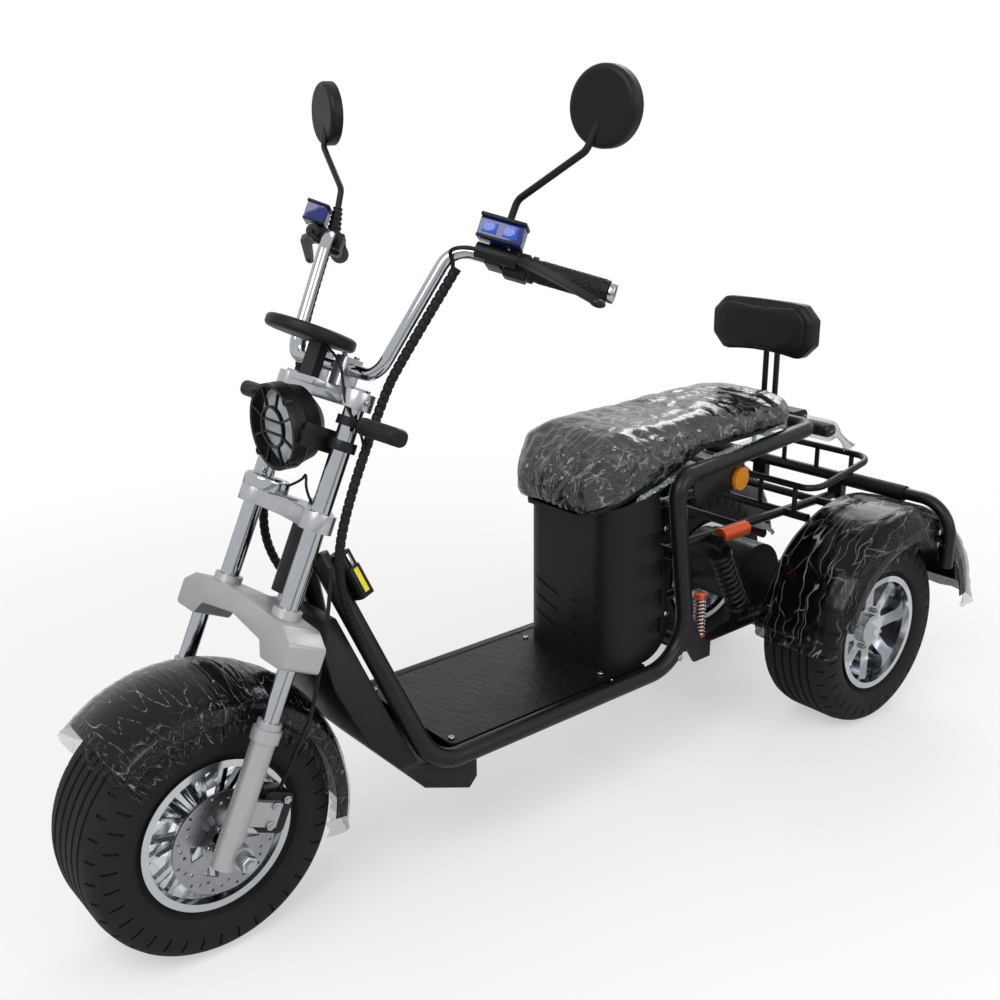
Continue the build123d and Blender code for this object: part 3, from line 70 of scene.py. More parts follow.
# camera, at the photograph's place: metres and degrees
cameraSettings = {"place": (1.5524, 1.7192, 1.3795), "yaw": -129.643, "pitch": 17.844, "roll": -0.523,
                  "lens": 41.76, "sensor": 36.0}


def placeCamera(settings):
    yaw, pitch, roll = (radians(settings[key]) for key in ("yaw", "pitch", "roll"))
    ahead = Vector((cos(pitch) * cos(yaw), cos(pitch) * sin(yaw), -sin(pitch)))
    right = ahead.cross(Vector((0, 0, 1))).normalized()
    up = right.cross(ahead)
    right, up = cos(roll) * right + sin(roll) * up, -sin(roll) * right + cos(roll) * up
    data = bpy.data.cameras.new("photo_camera")
    data.lens = settings["lens"]
    data.sensor_width = settings["sensor"]
    data.sensor_fit = "HORIZONTAL"
    camera = bpy.data.objects.new("photo_camera", data)
    scene.collection.objects.link(camera)
    turn = Matrix((right, up, -ahead)).transposed().to_4x4()
    camera.matrix_world = Matrix.Translation(settings["place"]) @ turn
    scene.camera = camera


placeCamera(cameraSettings)

# soft studio light on a pale floor
lightSettings = {
    "skyLight": 0.5, "floorSize": 90.0, "whiteFrom": 1.0, "whiteBy": 2.9, "floorColour": "#f3f3f2",
    "lamps": (
        ("key_panel", (2.6, 1.2, 3.4), 2.4, 78.0),
        ("fill_panel", (-0.6, 3.6, 2.3), 2.8, 46.0),
        ("back_panel", (-3.2, -1.4, 2.9), 2.2, 52.0),
    ),
    "aim": (0.0, 0.0, 0.5),
}
white = (1, 1, 1, 1)


def lightStudio(settings):
    world = bpy.data.worlds.new("studio_white")
    scene.world = world
    world.use_nodes = True
    tree = world.node_tree
    tree.nodes.clear()
    path = addNode(tree, "LightPath")
    seen = addNode(tree, "Math", operation="MAXIMUM",
                   links={0: path.outputs["Is Camera Ray"], 1: path.outputs["Is Glossy Ray"]})
    seen = addNode(tree, "Math", operation="MAXIMUM",
                   links={0: seen.outputs[0], 1: path.outputs["Is Transmission Ray"]})
    lit = addNode(tree, "Background", values={"Color": white, "Strength": settings["skyLight"]})
    shown = addNode(tree, "Background", values={"Color": white, "Strength": 1.0})
    mix = addNode(tree, "MixShader",
                  links={0: seen.outputs[0], 1: lit.outputs[0], 2: shown.outputs[0]})
    addNode(tree, "OutputWorld", links={"Surface": mix.outputs[0]})
    for name, place, size, power in settings["lamps"]:
        data = bpy.data.lights.new(name, "AREA")
        data.shape = "DISK"
        data.size = size
        data.energy = power
        lamp = bpy.data.objects.new(name, data)
        scene.collection.objects.link(lamp)
        lamp.location = place
        lamp.rotation_euler = (Vector(settings["aim"]) - Vector(place)).to_track_quat("-Z", "Y").to_euler()


def newMaterial(name):
    material = bpy.data.materials.new(name)
    material.use_nodes = True
    return material, material.node_tree, material.node_tree.nodes["Principled BSDF"]


def layFloor(settings):
    bpy.ops.object.select_all(action="DESELECT")
    bpy.ops.mesh.primitive_plane_add(size=settings["floorSize"])
    floor = bpy.context.object
    floor.name = "studio_floor"
    # matt paper: the lit floor fades into the white behind it
    paper, tree, shader = newMaterial("white_studio_paper")
    shader.inputs["Roughness"].default_value = 0.9
    shader.inputs["Specular IOR Level"].default_value = 0.0
    shader.inputs["Base Color"].default_value = linearColour(settings["floorColour"])
    path = addNode(tree, "LightPath")
    glow = addNode(tree, "Emission", values={"Color": white, "Strength": 1.0})
    place = addNode(tree, "TexCoord")
    away = addNode(tree, "VectorMath", operation="LENGTH", links={0: place.outputs["Object"]})
    fade = addNode(tree, "MapRange", interpolation_type="SMOOTHSTEP",
                   values={1: settings["whiteFrom"], 2: settings["whiteBy"], 3: 0.5, 4: 1.0},
                   links={0: away.outputs["Value"]})
    share = addNode(tree, "Math", operation="MULTIPLY",
                    links={0: path.outputs["Is Camera Ray"], 1: fade.outputs[0]})
    mix = addNode(tree, "MixShader",
                  links={0: share.outputs[0], 1: shader.outputs[0], 2: glow.outputs[0]})
    tree.links.new(mix.outputs[0], tree.nodes["Material Output"].inputs["Surface"])
    floor.data.materials.append(paper)


lightStudio(lightSettings)
layFloor(lightSettings)
print("studio ready")


# surfaces: two tones in soft patches, a spread of roughness, and a fine grain
def makeSurface(name, colour, tone, roughness, spread=0.05, metallic=0.0, patchMm=70, grainMm=1.0,
                grainLift=0.0, cells=False, stretch=(1, 1, 1), sockets={}):
    material, tree, shader = newMaterial(name)
    shader.inputs["Metallic"].default_value = metallic
    for socket, value in sockets.items():
        shader.inputs[socket].default_value = value
    place = addNode(tree, "TexCoord")
    patches = addNode(tree, "TexNoise", links={"Vector": place.outputs["Object"]},
                      values={"Scale": 1000 / patchMm, "Detail": 4.0, "Roughness": 0.6})
    colours = addNode(tree, "Mix", data_type="RGBA", links={0: patches.outputs["Fac"]},
                      values={6: linearColour(colour), 7: linearColour(tone)})
    tree.links.new(colours.outputs[2], shader.inputs["Base Color"])
    sheen = addNode(tree, "MapRange", links={0: patches.outputs["Fac"]},
                    values={1: 0.3, 2: 0.7, 3: max(roughness - spread, 0.02),
                            4: min(roughness + spread, 1.0)})
    tree.links.new(sheen.outputs[0], shader.inputs["Roughness"])
    if grainLift:
        turn = addNode(tree, "Mapping", values={"Scale": stretch},
                       links={"Vector": place.outputs["Object"]})
        kind = "TexVoronoi" if cells else "TexNoise"
        grain = addNode(tree, kind, values={"Scale": 1000 / grainMm}, links={"Vector": turn.outputs[0]})
        bump = addNode(tree, "Bump", values={"Strength": 0.6, "Distance": grainLift / 1000},
                       links={"Height": grain.outputs[0]})
        tree.links.new(bump.outputs[0], shader.inputs["Normal"])
    return material


dull = {"Specular IOR Level": 0.2}
surfaces = {
    # road tyre compound, moulded: dull black, dusty in patches, with a fine pebble
    "tyre_rubber": makeSurface("tyre_rubber_moulded", "#131415", "#1d1d1e", 0.74, 0.08, patchMm=45,
                               grainMm=1.6, grainLift=0.25, sockets=dull),
    # die-cast aluminium, buffed: bright, with soft streaks left by the wheel
    "cast_silver": makeSurface("cast_aluminium_buffed", "#b2b4b8", "#9ea0a4", 0.28, 0.07, metallic=0.95,
                               patchMm=40, grainMm=3, grainLift=0.06),
    # aluminium paint over a casting: satin silver with a faint sparkle
    "silver_paint": makeSurface("aluminium_paint_satin", "#a9abac", "#9a9c9e", 0.38, 0.06, metallic=0.55,
                                patchMm=90, grainMm=1.2, grainLift=0.05, cells=True),
    # chrome plate on tube: a near mirror
    "chrome": makeSurface("chrome_plate", "#aeb1b6", "#9b9ea4", 0.06, 0.03, metallic=1.0, patchMm=60),
    # zinc-plated steel, turned: grey, with a soft shine
    "steel": makeSurface("zinc_plated_steel", "#a2a4a8", "#7f8185", 0.28, 0.1, metallic=1.0, patchMm=25,
                         grainMm=1.5, grainLift=0.05),
    # powder coat on steel tube: black, semi gloss, slight orange peel
    "black_paint": makeSurface("black_powder_coat", "#0a0b0c", "#101113", 0.34, 0.08, patchMm=60,
                               grainMm=3.2, grainLift=0.12, sockets={"Specular IOR Level": 0.25}),
    # enamel on pressed steel: mid grey, faintly uneven
    "grey_paint": makeSurface("grey_enamel", "#8b8d90", "#7c7e82", 0.4, 0.06, patchMm=40, grainMm=2.4,
                              grainLift=0.1),
    # textured ABS, moulded: charcoal black with a fine leather spark
    "black_plastic": makeSurface("textured_abs_black", "#0a0b0d", "#101114", 0.45, 0.05, patchMm=120,
                                 grainMm=0.9, grainLift=0.1, cells=True, sockets=dull),
    # gloss ABS, moulded and polished: piano black
    "gloss_black": makeSurface("gloss_abs_black", "#090a0c", "#0e0f12", 0.1, 0.04, patchMm=80, sockets={
        "Specular IOR Level": 0.3, "Coat Weight": 0.15, "Coat Roughness": 0.05}),
    # PVC coated cloth: soft black with a fine pebble grain
    "vinyl": makeSurface("pvc_upholstery_black", "#0c0d10", "#131418", 0.48, 0.08, patchMm=50, grainMm=2.2,
                         grainLift=0.35, cells=True, sockets=dull),
    # EPDM rubber: deep matt black
    "rubber": makeSurface("epdm_rubber", "#0b0b0c", "#121213", 0.55, 0.08, patchMm=20, grainMm=1.2,
                          grainLift=0.12, sockets=dull),
    # polycarbonate lamp lens: clear, with a thin grey veil
    "lens": makeSurface("clear_polycarbonate", "#e9eef4", "#dfe6ee", 0.06, 0.02, patchMm=30,
                        sockets={"Alpha": 0.36, "IOR": 1.58}),
    # silvered glass: a plain mirror
    "mirror_face": makeSurface("silvered_glass", "#eef0f2", "#e6e8ec", 0.03, 0.01, metallic=1.0, patchMm=60),
    # dyed acrylic tank: deep blue that glows where light comes through
    "blue_tank": makeSurface("blue_acrylic", "#0b2580", "#071650", 0.1, 0.03, patchMm=22,
                             sockets={"Transmission Weight": 0.08, "IOR": 1.49}),
    # amber reflector: prisms moulded behind a smooth face
    "amber": makeSurface("amber_acrylic", "#e59a12", "#b86a06", 0.14, 0.04, patchMm=6, grainMm=5.0,
                         grainLift=1.2, cells=True, sockets={"Transmission Weight": 0.15}),
    # anodised aluminium canister: warm orange with a metal glint
    "orange_paint": makeSurface("orange_anodised", "#d8572a", "#b8431c", 0.34, 0.07, metallic=0.5,
                                patchMm=16, grainMm=1.5, grainLift=0.06),
    # polypropylene battery case: plain dull grey
    "battery_case": makeSurface("grey_polypropylene", "#4a4b4e", "#414245", 0.5, 0.05, grainMm=1.5,
                                grainLift=0.05),
}
# aluminium wheel, machined and polished: bright and sharp
polishedWheel = makeSurface("aluminium_polished", "#c9ccd0", "#b0b3b8", 0.13, 0.05, metallic=1.0, patchMm=30,
                            grainMm=2.5, grainLift=0.03)
# deck mat: black rubber with a low pattern of short dashes
deckMat = makeSurface("ribbed_rubber_mat", "#090a0b", "#0e0f11", 0.4, 0.06, patchMm=60, grainMm=9.0,
                      grainLift=1.1, cells=True, stretch=(1.0, 0.4, 1.0),
                      sockets={"Specular IOR Level": 0.22})
ownSurfaces = {"front_rim": polishedWheel, "rear_rim_left": polishedWheel, "rear_rim_right": polishedWheel,
               "deck_plate": deckMat}
for part in frame["record"]["subparts"]:
    node = nodes[part["node"]]
    node.data.materials.clear()
    node.data.materials.append(ownSurfaces.get(part["node"], surfaces[part["material_slot"]]))


# ways of working: each piece starts from a primitive and is shaped in edit mode
def deselectAll():
    if bpy.context.object and bpy.context.object.mode != "OBJECT":
        bpy.ops.object.mode_set(mode="OBJECT")
    bpy.ops.object.select_all(action="DESELECT")


def activate(piece, mode="OBJECT"):
    deselectAll()
    piece.select_set(True)
    bpy.context.view_layer.objects.active = piece
    if mode == "EDIT":
        bpy.ops.object.mode_set(mode="EDIT")
        bpy.ops.mesh.select_all(action="SELECT")


def applyModifiers(piece):
    activate(piece)
    for modifier in list(piece.modifiers):
        bpy.ops.object.modifier_apply(modifier=modifier.name)


def closeUp(piece):
    activate(piece, "EDIT")
    bpy.ops.mesh.remove_doubles(threshold=0.00002)
    bpy.ops.mesh.dissolve_degenerate(threshold=0.00001)
    bpy.ops.mesh.select_all(action="SELECT")
    bpy.ops.mesh.normals_make_consistent(inside=False)
    bpy.ops.object.mode_set(mode="OBJECT")


def selectFaces(piece, wanted):
    activate(piece, "EDIT")
    bpy.ops.mesh.select_all(action="DESELECT")
    bpy.ops.object.mode_set(mode="OBJECT")
    for face in piece.data.polygons:
        face.select = wanted(face)
    bpy.ops.object.mode_set(mode="EDIT")


def outlinePiece(name, points):
    deselectAll()
    bpy.ops.mesh.primitive_circle_add(vertices=len(points), fill_type="NOTHING")
    piece = bpy.context.object
    piece.name = piece.data.name = name
    for vertex, point in zip(piece.data.vertices, points):
        vertex.co = point
    return piece


def spinPiece(name, points, centre, axis, steps):
    piece = outlinePiece(name, points)
    activate(piece, "EDIT")
    bpy.ops.mesh.spin(steps=steps, angle=2 * pi, center=centre, axis=axis)
    closeUp(piece)
    return piece


def platePiece(name, points, push):
    piece = outlinePiece(name, points)
    activate(piece, "EDIT")
    bpy.ops.mesh.edge_face_add()
    bpy.ops.mesh.extrude_region_move(TRANSFORM_OT_translate={"value": push})
    closeUp(piece)
    return piece


def addBevel(piece, width, segments=2, angle=32):
    modifier = piece.modifiers.new("rounding", "BEVEL")
    modifier.width = width
    modifier.segments = segments
    modifier.limit_method = "ANGLE"
    modifier.angle_limit = radians(angle)
    applyModifiers(piece)


def gridPiece(name, across, along, place):
    deselectAll()
    bpy.ops.mesh.primitive_grid_add(x_subdivisions=across, y_subdivisions=along, size=2)
    piece = bpy.context.object
    piece.name = piece.data.name = name
    for vertex in piece.data.vertices:
        vertex.co = place((vertex.co.x + 1) / 2, (vertex.co.y + 1) / 2)
    return piece


def cordCurve(name, points, radius):
    data = bpy.data.curves.new(name, "CURVE")
    data.dimensions = "3D"
    data.bevel_depth = radius
    data.bevel_resolution = 5
    data.use_fill_caps = True
    data.resolution_u = 10
    line = data.splines.new("NURBS")
    line.points.add(len(points) - 1)
    for spot, point in zip(line.points, points):
        spot.co = (*point, 1.0)
    line.order_u = 3
    line.use_endpoint_u = True
    curve = bpy.data.objects.new(name, data)
    scene.collection.objects.link(curve)
    return curve


def curveLine(curve):
    thin = curve.data.copy()
    thin.bevel_depth = 0.0
    holder = bpy.data.objects.new("route", thin)
    scene.collection.objects.link(holder)
    mesh = bpy.data.meshes.new_from_object(holder)
    line = [vertex.co.copy() for vertex in mesh.vertices]
    bpy.data.objects.remove(holder)
    return line


def smoothLine(points):
    guide = cordCurve("guide", points, 0.0)
    line = curveLine(guide)
    bpy.data.objects.remove(guide)
    return line


def copyPiece(master, name, matrix):
    piece = master.copy()
    piece.data = master.data.copy()
    piece.name = piece.data.name = name
    piece.data.transform(matrix)
    scene.collection.objects.link(piece)
    return piece


def joinPieces(name, pieces):
    deselectAll()
    for piece in pieces:
        piece.select_set(True)
    bpy.context.view_layer.objects.active = pieces[0]
    bpy.ops.object.join()
    piece = bpy.context.object
    piece.name = piece.data.name = name
    return piece


def settle(piece, body, slotName, material=None, hides=(), angle=35):
    activate(piece)
    bpy.ops.object.shade_smooth_by_angle(angle=radians(angle))
    piece.data.materials.clear()
    piece.data.materials.append(material or surfaces[slotName])
    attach(piece, body)
    if hides:
        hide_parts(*hides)
    return piece


def facing(place, direction):
    turn = Vector((0, 0, 1)).rotation_difference(Vector(direction))
    return Matrix.Translation(place) @ turn.to_matrix().to_4x4()


def mm(*sizes):
    return Vector(size / 1000 for size in sizes)


mirrored = Matrix.Scale(-1, 4, (0, 1, 0))  # left to right
# the fork's own axes: u ahead of the steering axis, v to the left, w up along it, in millimetres
forkRake = radians(25)
forkAhead = Vector((cos(forkRake), 0, sin(forkRake)))
forkUp = Vector((-sin(forkRake), 0, cos(forkRake)))
steerFoot = mm(798.560, 0, 212.940)


def onFork(u, v, w):
    return steerFoot + (forkAhead * u + Vector((0, v, 0)) + forkUp * w) / 1000


# tyres: grooves run round the tread, slits cross the shoulders and nick the walls; slits lie within a reach
# from the wall and a span of radius, in metres
wheelSettings = {
    "axleZ": 229, "steps": 288, "slitEvery": 8, "slitDepth": 0.004, "grooveWide": 3.4,
    "grooveDeep": 6.0, "shoulderReach": (0.006, 0.033), "shoulderFrom": 0.214,
    "wallReach": 0.0045, "wallSpan": (0.188, 0.2085),
    "front": {"x": 833, "y": 0, "half": 102.5, "grooves": (-50, -25, 0, 25, 50)},
    "rearLeft": {"x": -747, "y": 265, "half": 95.0, "grooves": (-46, -23, 0, 23, 46)},
    "rearRight": {"x": -747, "y": -265, "half": 95.0, "grooves": (-46, -23, 0, 23, 46)},
}


def tyreProfile(half, grooves, settings):
    side = [(half - 34.5, 130.5), (half - 21.5, 131), (half - 21.5, 143), (half - 15, 149), (half - 9, 151.5),
            (half - 5, 157), (half - 1.5, 170), (half, 184), (half - 1.2, 197), (half - 5, 208.5),
            (half - 11, 217), (half - 19, 222.6), (half - 29, 226), (half - 39, 227.8)]
    tread = []
    for groove in sorted(grooves, reverse=True):
        wide, deep = settings["grooveWide"], settings["grooveDeep"]
        tread += [(groove + wide + 1, 229), (groove + wide, 228.2), (groove + wide - 1, 229 - deep),
                  (groove - wide + 1, 229 - deep), (groove - wide, 228.2), (groove - wide - 1, 229)]
    inner = [(-half + 13, 183), (-half + 26, 210), (half - 26, 210), (half - 13, 183)]
    return side + tread + [(-y, r) for y, r in reversed(side)] + inner


def makeTyre(name, spot, body, node):
    settings = wheelSettings
    centre = mm(spot["x"], spot["y"], settings["axleZ"])
    points = [centre + mm(0, y, r) for y, r in tyreProfile(spot["half"], spot["grooves"], settings)]
    tyre = spinPiece(name, points, centre, (0, 1, 0), settings["steps"])
    stepAngle = 2 * pi / settings["steps"]
    half = spot["half"] / 1000
    near, far = settings["shoulderReach"]
    low, high = settings["wallSpan"]

    def slit(face):
        offset = face.center - centre
        radius = (offset.x ** 2 + offset.z ** 2) ** 0.5
        turn = int((Vector((offset.x, offset.z)).angle_signed(Vector((1, 0))) + pi) / stepAngle)
        shift = 0 if offset.y > 0 else settings["slitEvery"] // 2
        reach = half - abs(offset.y)
        onShoulder = near < reach < far and radius > settings["shoulderFrom"]
        onWall = reach < settings["wallReach"] and low < radius < high
        phase = (turn + shift) % settings["slitEvery"]
        return (onShoulder and phase == 0) or (onWall and phase == settings["slitEvery"] // 2)

    selectFaces(tyre, slit)
    bpy.ops.mesh.extrude_region_shrink_fatten(TRANSFORM_OT_shrink_fatten={"value": -settings["slitDepth"]})
    bpy.ops.object.mode_set(mode="OBJECT")
    settle(tyre, body, "tyre_rubber", hides=[node], angle=28)


makeTyre("front_tyre_treaded", wheelSettings["front"], "front_wheel", "front_tyre")
makeTyre("rear_left_tyre_treaded", wheelSettings["rearLeft"], "rear_wheel_left", "rear_tyre_left")
makeTyre("rear_right_tyre_treaded", wheelSettings["rearRight"], "rear_wheel_right", "rear_tyre_right")
print("tyres done")


# tubes and coils: a ring of points carried along a line
def evenStations(line, steps):
    reach = [0.0]
    for before, after in zip(line, line[1:]):
        reach.append(reach[-1] + (after - before).length)
    spots = []
    index = 0
    for step in range(steps + 1):
        goal = reach[-1] * step / steps
        while index < len(line) - 2 and reach[index + 1] < goal:
            index += 1
        share = (goal - reach[index]) / max(reach[index + 1] - reach[index], 1e-9)
        spots.append(line[index].lerp(line[index + 1], min(share, 1.0)))
    stations = []
    side = None
    for step, spot in enumerate(spots):
        run = (spots[min(step + 1, steps)] - spots[max(step - 1, 0)]).normalized()
        side = run.orthogonal() if side is None else side - run * side.dot(run)
        side.normalize()
        stations.append((spot, side.copy(), run.cross(side)))
    return stations


def lineLength(line):
    return sum((after - before).length for before, after in zip(line, line[1:]))


def tubeAlong(name, line, radiusAt, around, steps):
    stations = evenStations(line, steps)

    def place(u, v):
        spot, side, up = stations[min(round(v * steps), steps)]
        return spot + (side * cos(2 * pi * u) + up * sin(2 * pi * u)) * radiusAt(u, v)

    piece = gridPiece(name, around, steps, place)
    closeUp(piece)
    activate(piece, "EDIT")
    bpy.ops.mesh.fill_holes(sides=0)
    bpy.ops.mesh.normals_make_consistent(inside=False)
    bpy.ops.object.mode_set(mode="OBJECT")
    return piece


def helixLine(start, end, radius, turns, perTurn=18):
    run = (end - start).normalized()
    side = run.orthogonal().normalized()
    up = run.cross(side)
    count = int(turns * perTurn)
    line = []
    for step in range(count + 1):
        turn = 2 * pi * step / perTurn
        line.append(start.lerp(end, step / count) + (side * cos(turn) + up * sin(turn)) * radius)
    return line


def ramp(value, low, high):
    step = min(max((value - low) / (high - low), 0.0), 1.0)
    return step * step * (3 - 2 * step)


def linkMesh(name, mesh):
    piece = bpy.data.objects.new(name, mesh)
    mesh.name = name
    scene.collection.objects.link(piece)
    return piece


# padded seat and backrest: foam swelled by pressure inside its cover
seatSettings = {"voxel": 0.0075, "smooth": 12, "pressure": 1.6, "cap": 0.007, "frames": 16, "relax": 3,
                "noseBack": 0.030, "noseDrop": 0.024, "noseFrom": (-0.15, 0.03), "noseAbove": (0.66, 0.78)}
backSettings = {"voxel": 0.005, "smooth": 3, "pressure": 1.2, "cap": 0.003, "frames": 14, "relax": 3,
                "frontX": -0.690, "sink": 0.008, "archHalf": 0.095, "archRise": 0.009, "lowZ": 0.88}
pillowSettings = {"voxel": 0.0042, "smooth": 6, "pressure": 3.0, "cap": 0.005, "frames": 14, "relax": 4,
                  "x": -0.6805, "half": 0.130, "low": 0.868, "high": 0.976, "corner": 0.042, "deep": 0.010}


def swellPad(piece, settings):
    start = [vertex.co.copy() for vertex in piece.data.vertices]
    cloth = piece.modifiers.new("foam_pressure", "CLOTH")
    cloth.settings.quality = 4
    cloth.settings.mass = 0.3
    cloth.settings.tension_stiffness = 25
    cloth.settings.compression_stiffness = 25
    cloth.settings.use_pressure = True
    cloth.settings.uniform_pressure_force = settings["pressure"]
    cloth.settings.effector_weights.gravity = 0
    cloth.point_cache.frame_start = 1
    cloth.point_cache.frame_end = settings["frames"]
    for step in range(1, settings["frames"] + 1):
        scene.frame_set(step)
    applyModifiers(piece)
    scene.frame_set(1)
    for vertex, before in zip(piece.data.vertices, start):
        move = vertex.co - before
        if move.length > settings["cap"]:
            vertex.co = before + move.normalized() * settings["cap"]


def softenPad(piece, times, factor=0.6):
    smooth = piece.modifiers.new("soften", "SMOOTH")
    smooth.iterations = times
    smooth.factor = factor
    applyModifiers(piece)


def fillPad(piece, settings):
    remesh = piece.modifiers.new("even_net", "REMESH")
    remesh.mode = "VOXEL"
    remesh.voxel_size = settings["voxel"]
    applyModifiers(piece)
    softenPad(piece, settings["smooth"])
    swellPad(piece, settings)
    softenPad(piece, settings["relax"], 0.5)
    return piece


def padFrom(nodeName, name, settings):
    piece = linkMesh(name, nodes[nodeName].data.copy())
    closeUp(piece)
    return fillPad(piece, settings)


def roundedCorners(half, low, high, corner, steps=7):
    corners = []
    for y, z, first in ((half, high, 0), (-half, high, 90), (-half, low, 180), (half, low, 270)):
        centreY = y - corner if y > 0 else y + corner
        centreZ = z - corner if z == high else z + corner
        for step in range(steps + 1):
            turn = radians(first + 90 * step / steps)
            corners.append((centreY + corner * cos(turn), centreZ + corner * sin(turn)))
    return corners


def makePillow(settings):
    ring = roundedCorners(settings["half"], settings["low"], settings["high"], settings["corner"])
    pillow = platePiece("backrest_pillow", [(settings["x"], y, z) for y, z in ring], (settings["deep"], 0, 0))
    return fillPad(pillow, settings)


seat = padFrom("seat_cushion", "seat_padded", seatSettings)
for vertex in seat.data.vertices:
    spot = vertex.co
    noseward, high = ramp(spot.x, *seatSettings["noseFrom"]), ramp(spot.z, *seatSettings["noseAbove"])
    spot.x -= seatSettings["noseBack"] * noseward * high
    spot.z -= seatSettings["noseDrop"] * noseward * high
settle(seat, "frame", "vinyl", hides=["seat_cushion"], angle=60)
backrest = padFrom("backrest_pad", "backrest_padded", backSettings)
for vertex in backrest.data.vertices:
    spot = vertex.co
    arch = max(0.0, 1 - (spot.y / backSettings["archHalf"]) ** 2)
    spot.z += backSettings["archRise"] * arch * ramp(backSettings["lowZ"] - spot.z, 0.0, 0.02)
    spot.x -= backSettings["sink"] * ramp(spot.x, backSettings["frontX"], backSettings["frontX"] + 0.016)
settle(backrest, "frame", "vinyl", hides=["backrest_pad"], angle=60)
pillow = makePillow(pillowSettings)
settle(pillow, "frame", "vinyl", angle=60)
print("pads done", len(seat.data.polygons), len(backrest.data.polygons), len(pillow.data.polygons))


# shipping film, thin clear polythene: drawn dark where it lies on black, glossy and creased, with pale crease
# lines that are partly the film's whitened folds and partly painted highlight;
# net and drag scale the crease pattern; cover is how much it hides where creased, flatCover where flat
filmSettings = {
    # gathered round the seat: crisp folds close together, with bright glints from its shine and pale crease
    # lines, partly whitened folds and partly painted highlight
    "gathered": {"source": "Object", "net": (17, 17, 17), "drag": (13, 22, 6), "cover": 0.74,
                 "flatCover": 0.74, "dark": "#0e1013", "pale": "#c8d0d8", "lineWidth": 0.024,
                 "lineShare": 0.45, "liftMm": 13.0, "breakAt": 0.44, "ior": 1.65, "coat": 0.55},
    # loose over the front fender: clear at the hem, with fine pale crease lines, partly whitened folds and
    # partly painted highlight
    "loose": {"source": "UV", "net": (14, 28, 1), "drag": (3, 30, 1), "cover": 0.3, "flatCover": 0.85,
              "dark": "#090a0c", "pale": "#cfd6dc", "lineWidth": 0.024, "lineShare": 0.42, "liftMm": 4.0,
              "breakAt": 0.42, "ior": 1.3, "coat": 0.05},
    # stretched over the rear fenders: long thin pale lines, partly whitened creases and partly painted
    # highlight, on a dark shine
    "stretched": {"source": "UV", "net": (6, 8, 1), "drag": (9, 3, 1), "cover": 0.32, "flatCover": 0.88,
                  "dark": "#060708", "pale": "#cfd6dc", "lineWidth": 0.017, "lineShare": 0.36, "liftMm": 3.0,
                  "breakAt": 0.38, "ior": 1.26, "coat": 0.02},
    # twisted round the rear signals: milky where the folds crowd
    "twisted": {"source": "Object", "net": (40, 40, 40), "drag": (20, 60, 20), "cover": 0.3, "flatCover": 0.3,
                "dark": "#2a2d31", "pale": "#e6ebef", "lineWidth": 0.06, "lineShare": 0.9, "liftMm": 5.0,
                "breakAt": 0.48, "ior": 1.36, "coat": 0.15},
    # crimped hem of the seat film: pale and ruffled
    "crimped": {"source": "Object", "net": (80, 80, 80), "drag": (90, 90, 30), "cover": 0.42,
                "flatCover": 0.42, "dark": "#9aa2aa", "pale": "#eef2f5", "lineWidth": 0.12,
                "lineShare": 1.0, "liftMm": 3.0, "breakAt": 0.48, "ior": 1.36, "coat": 0.15},
}


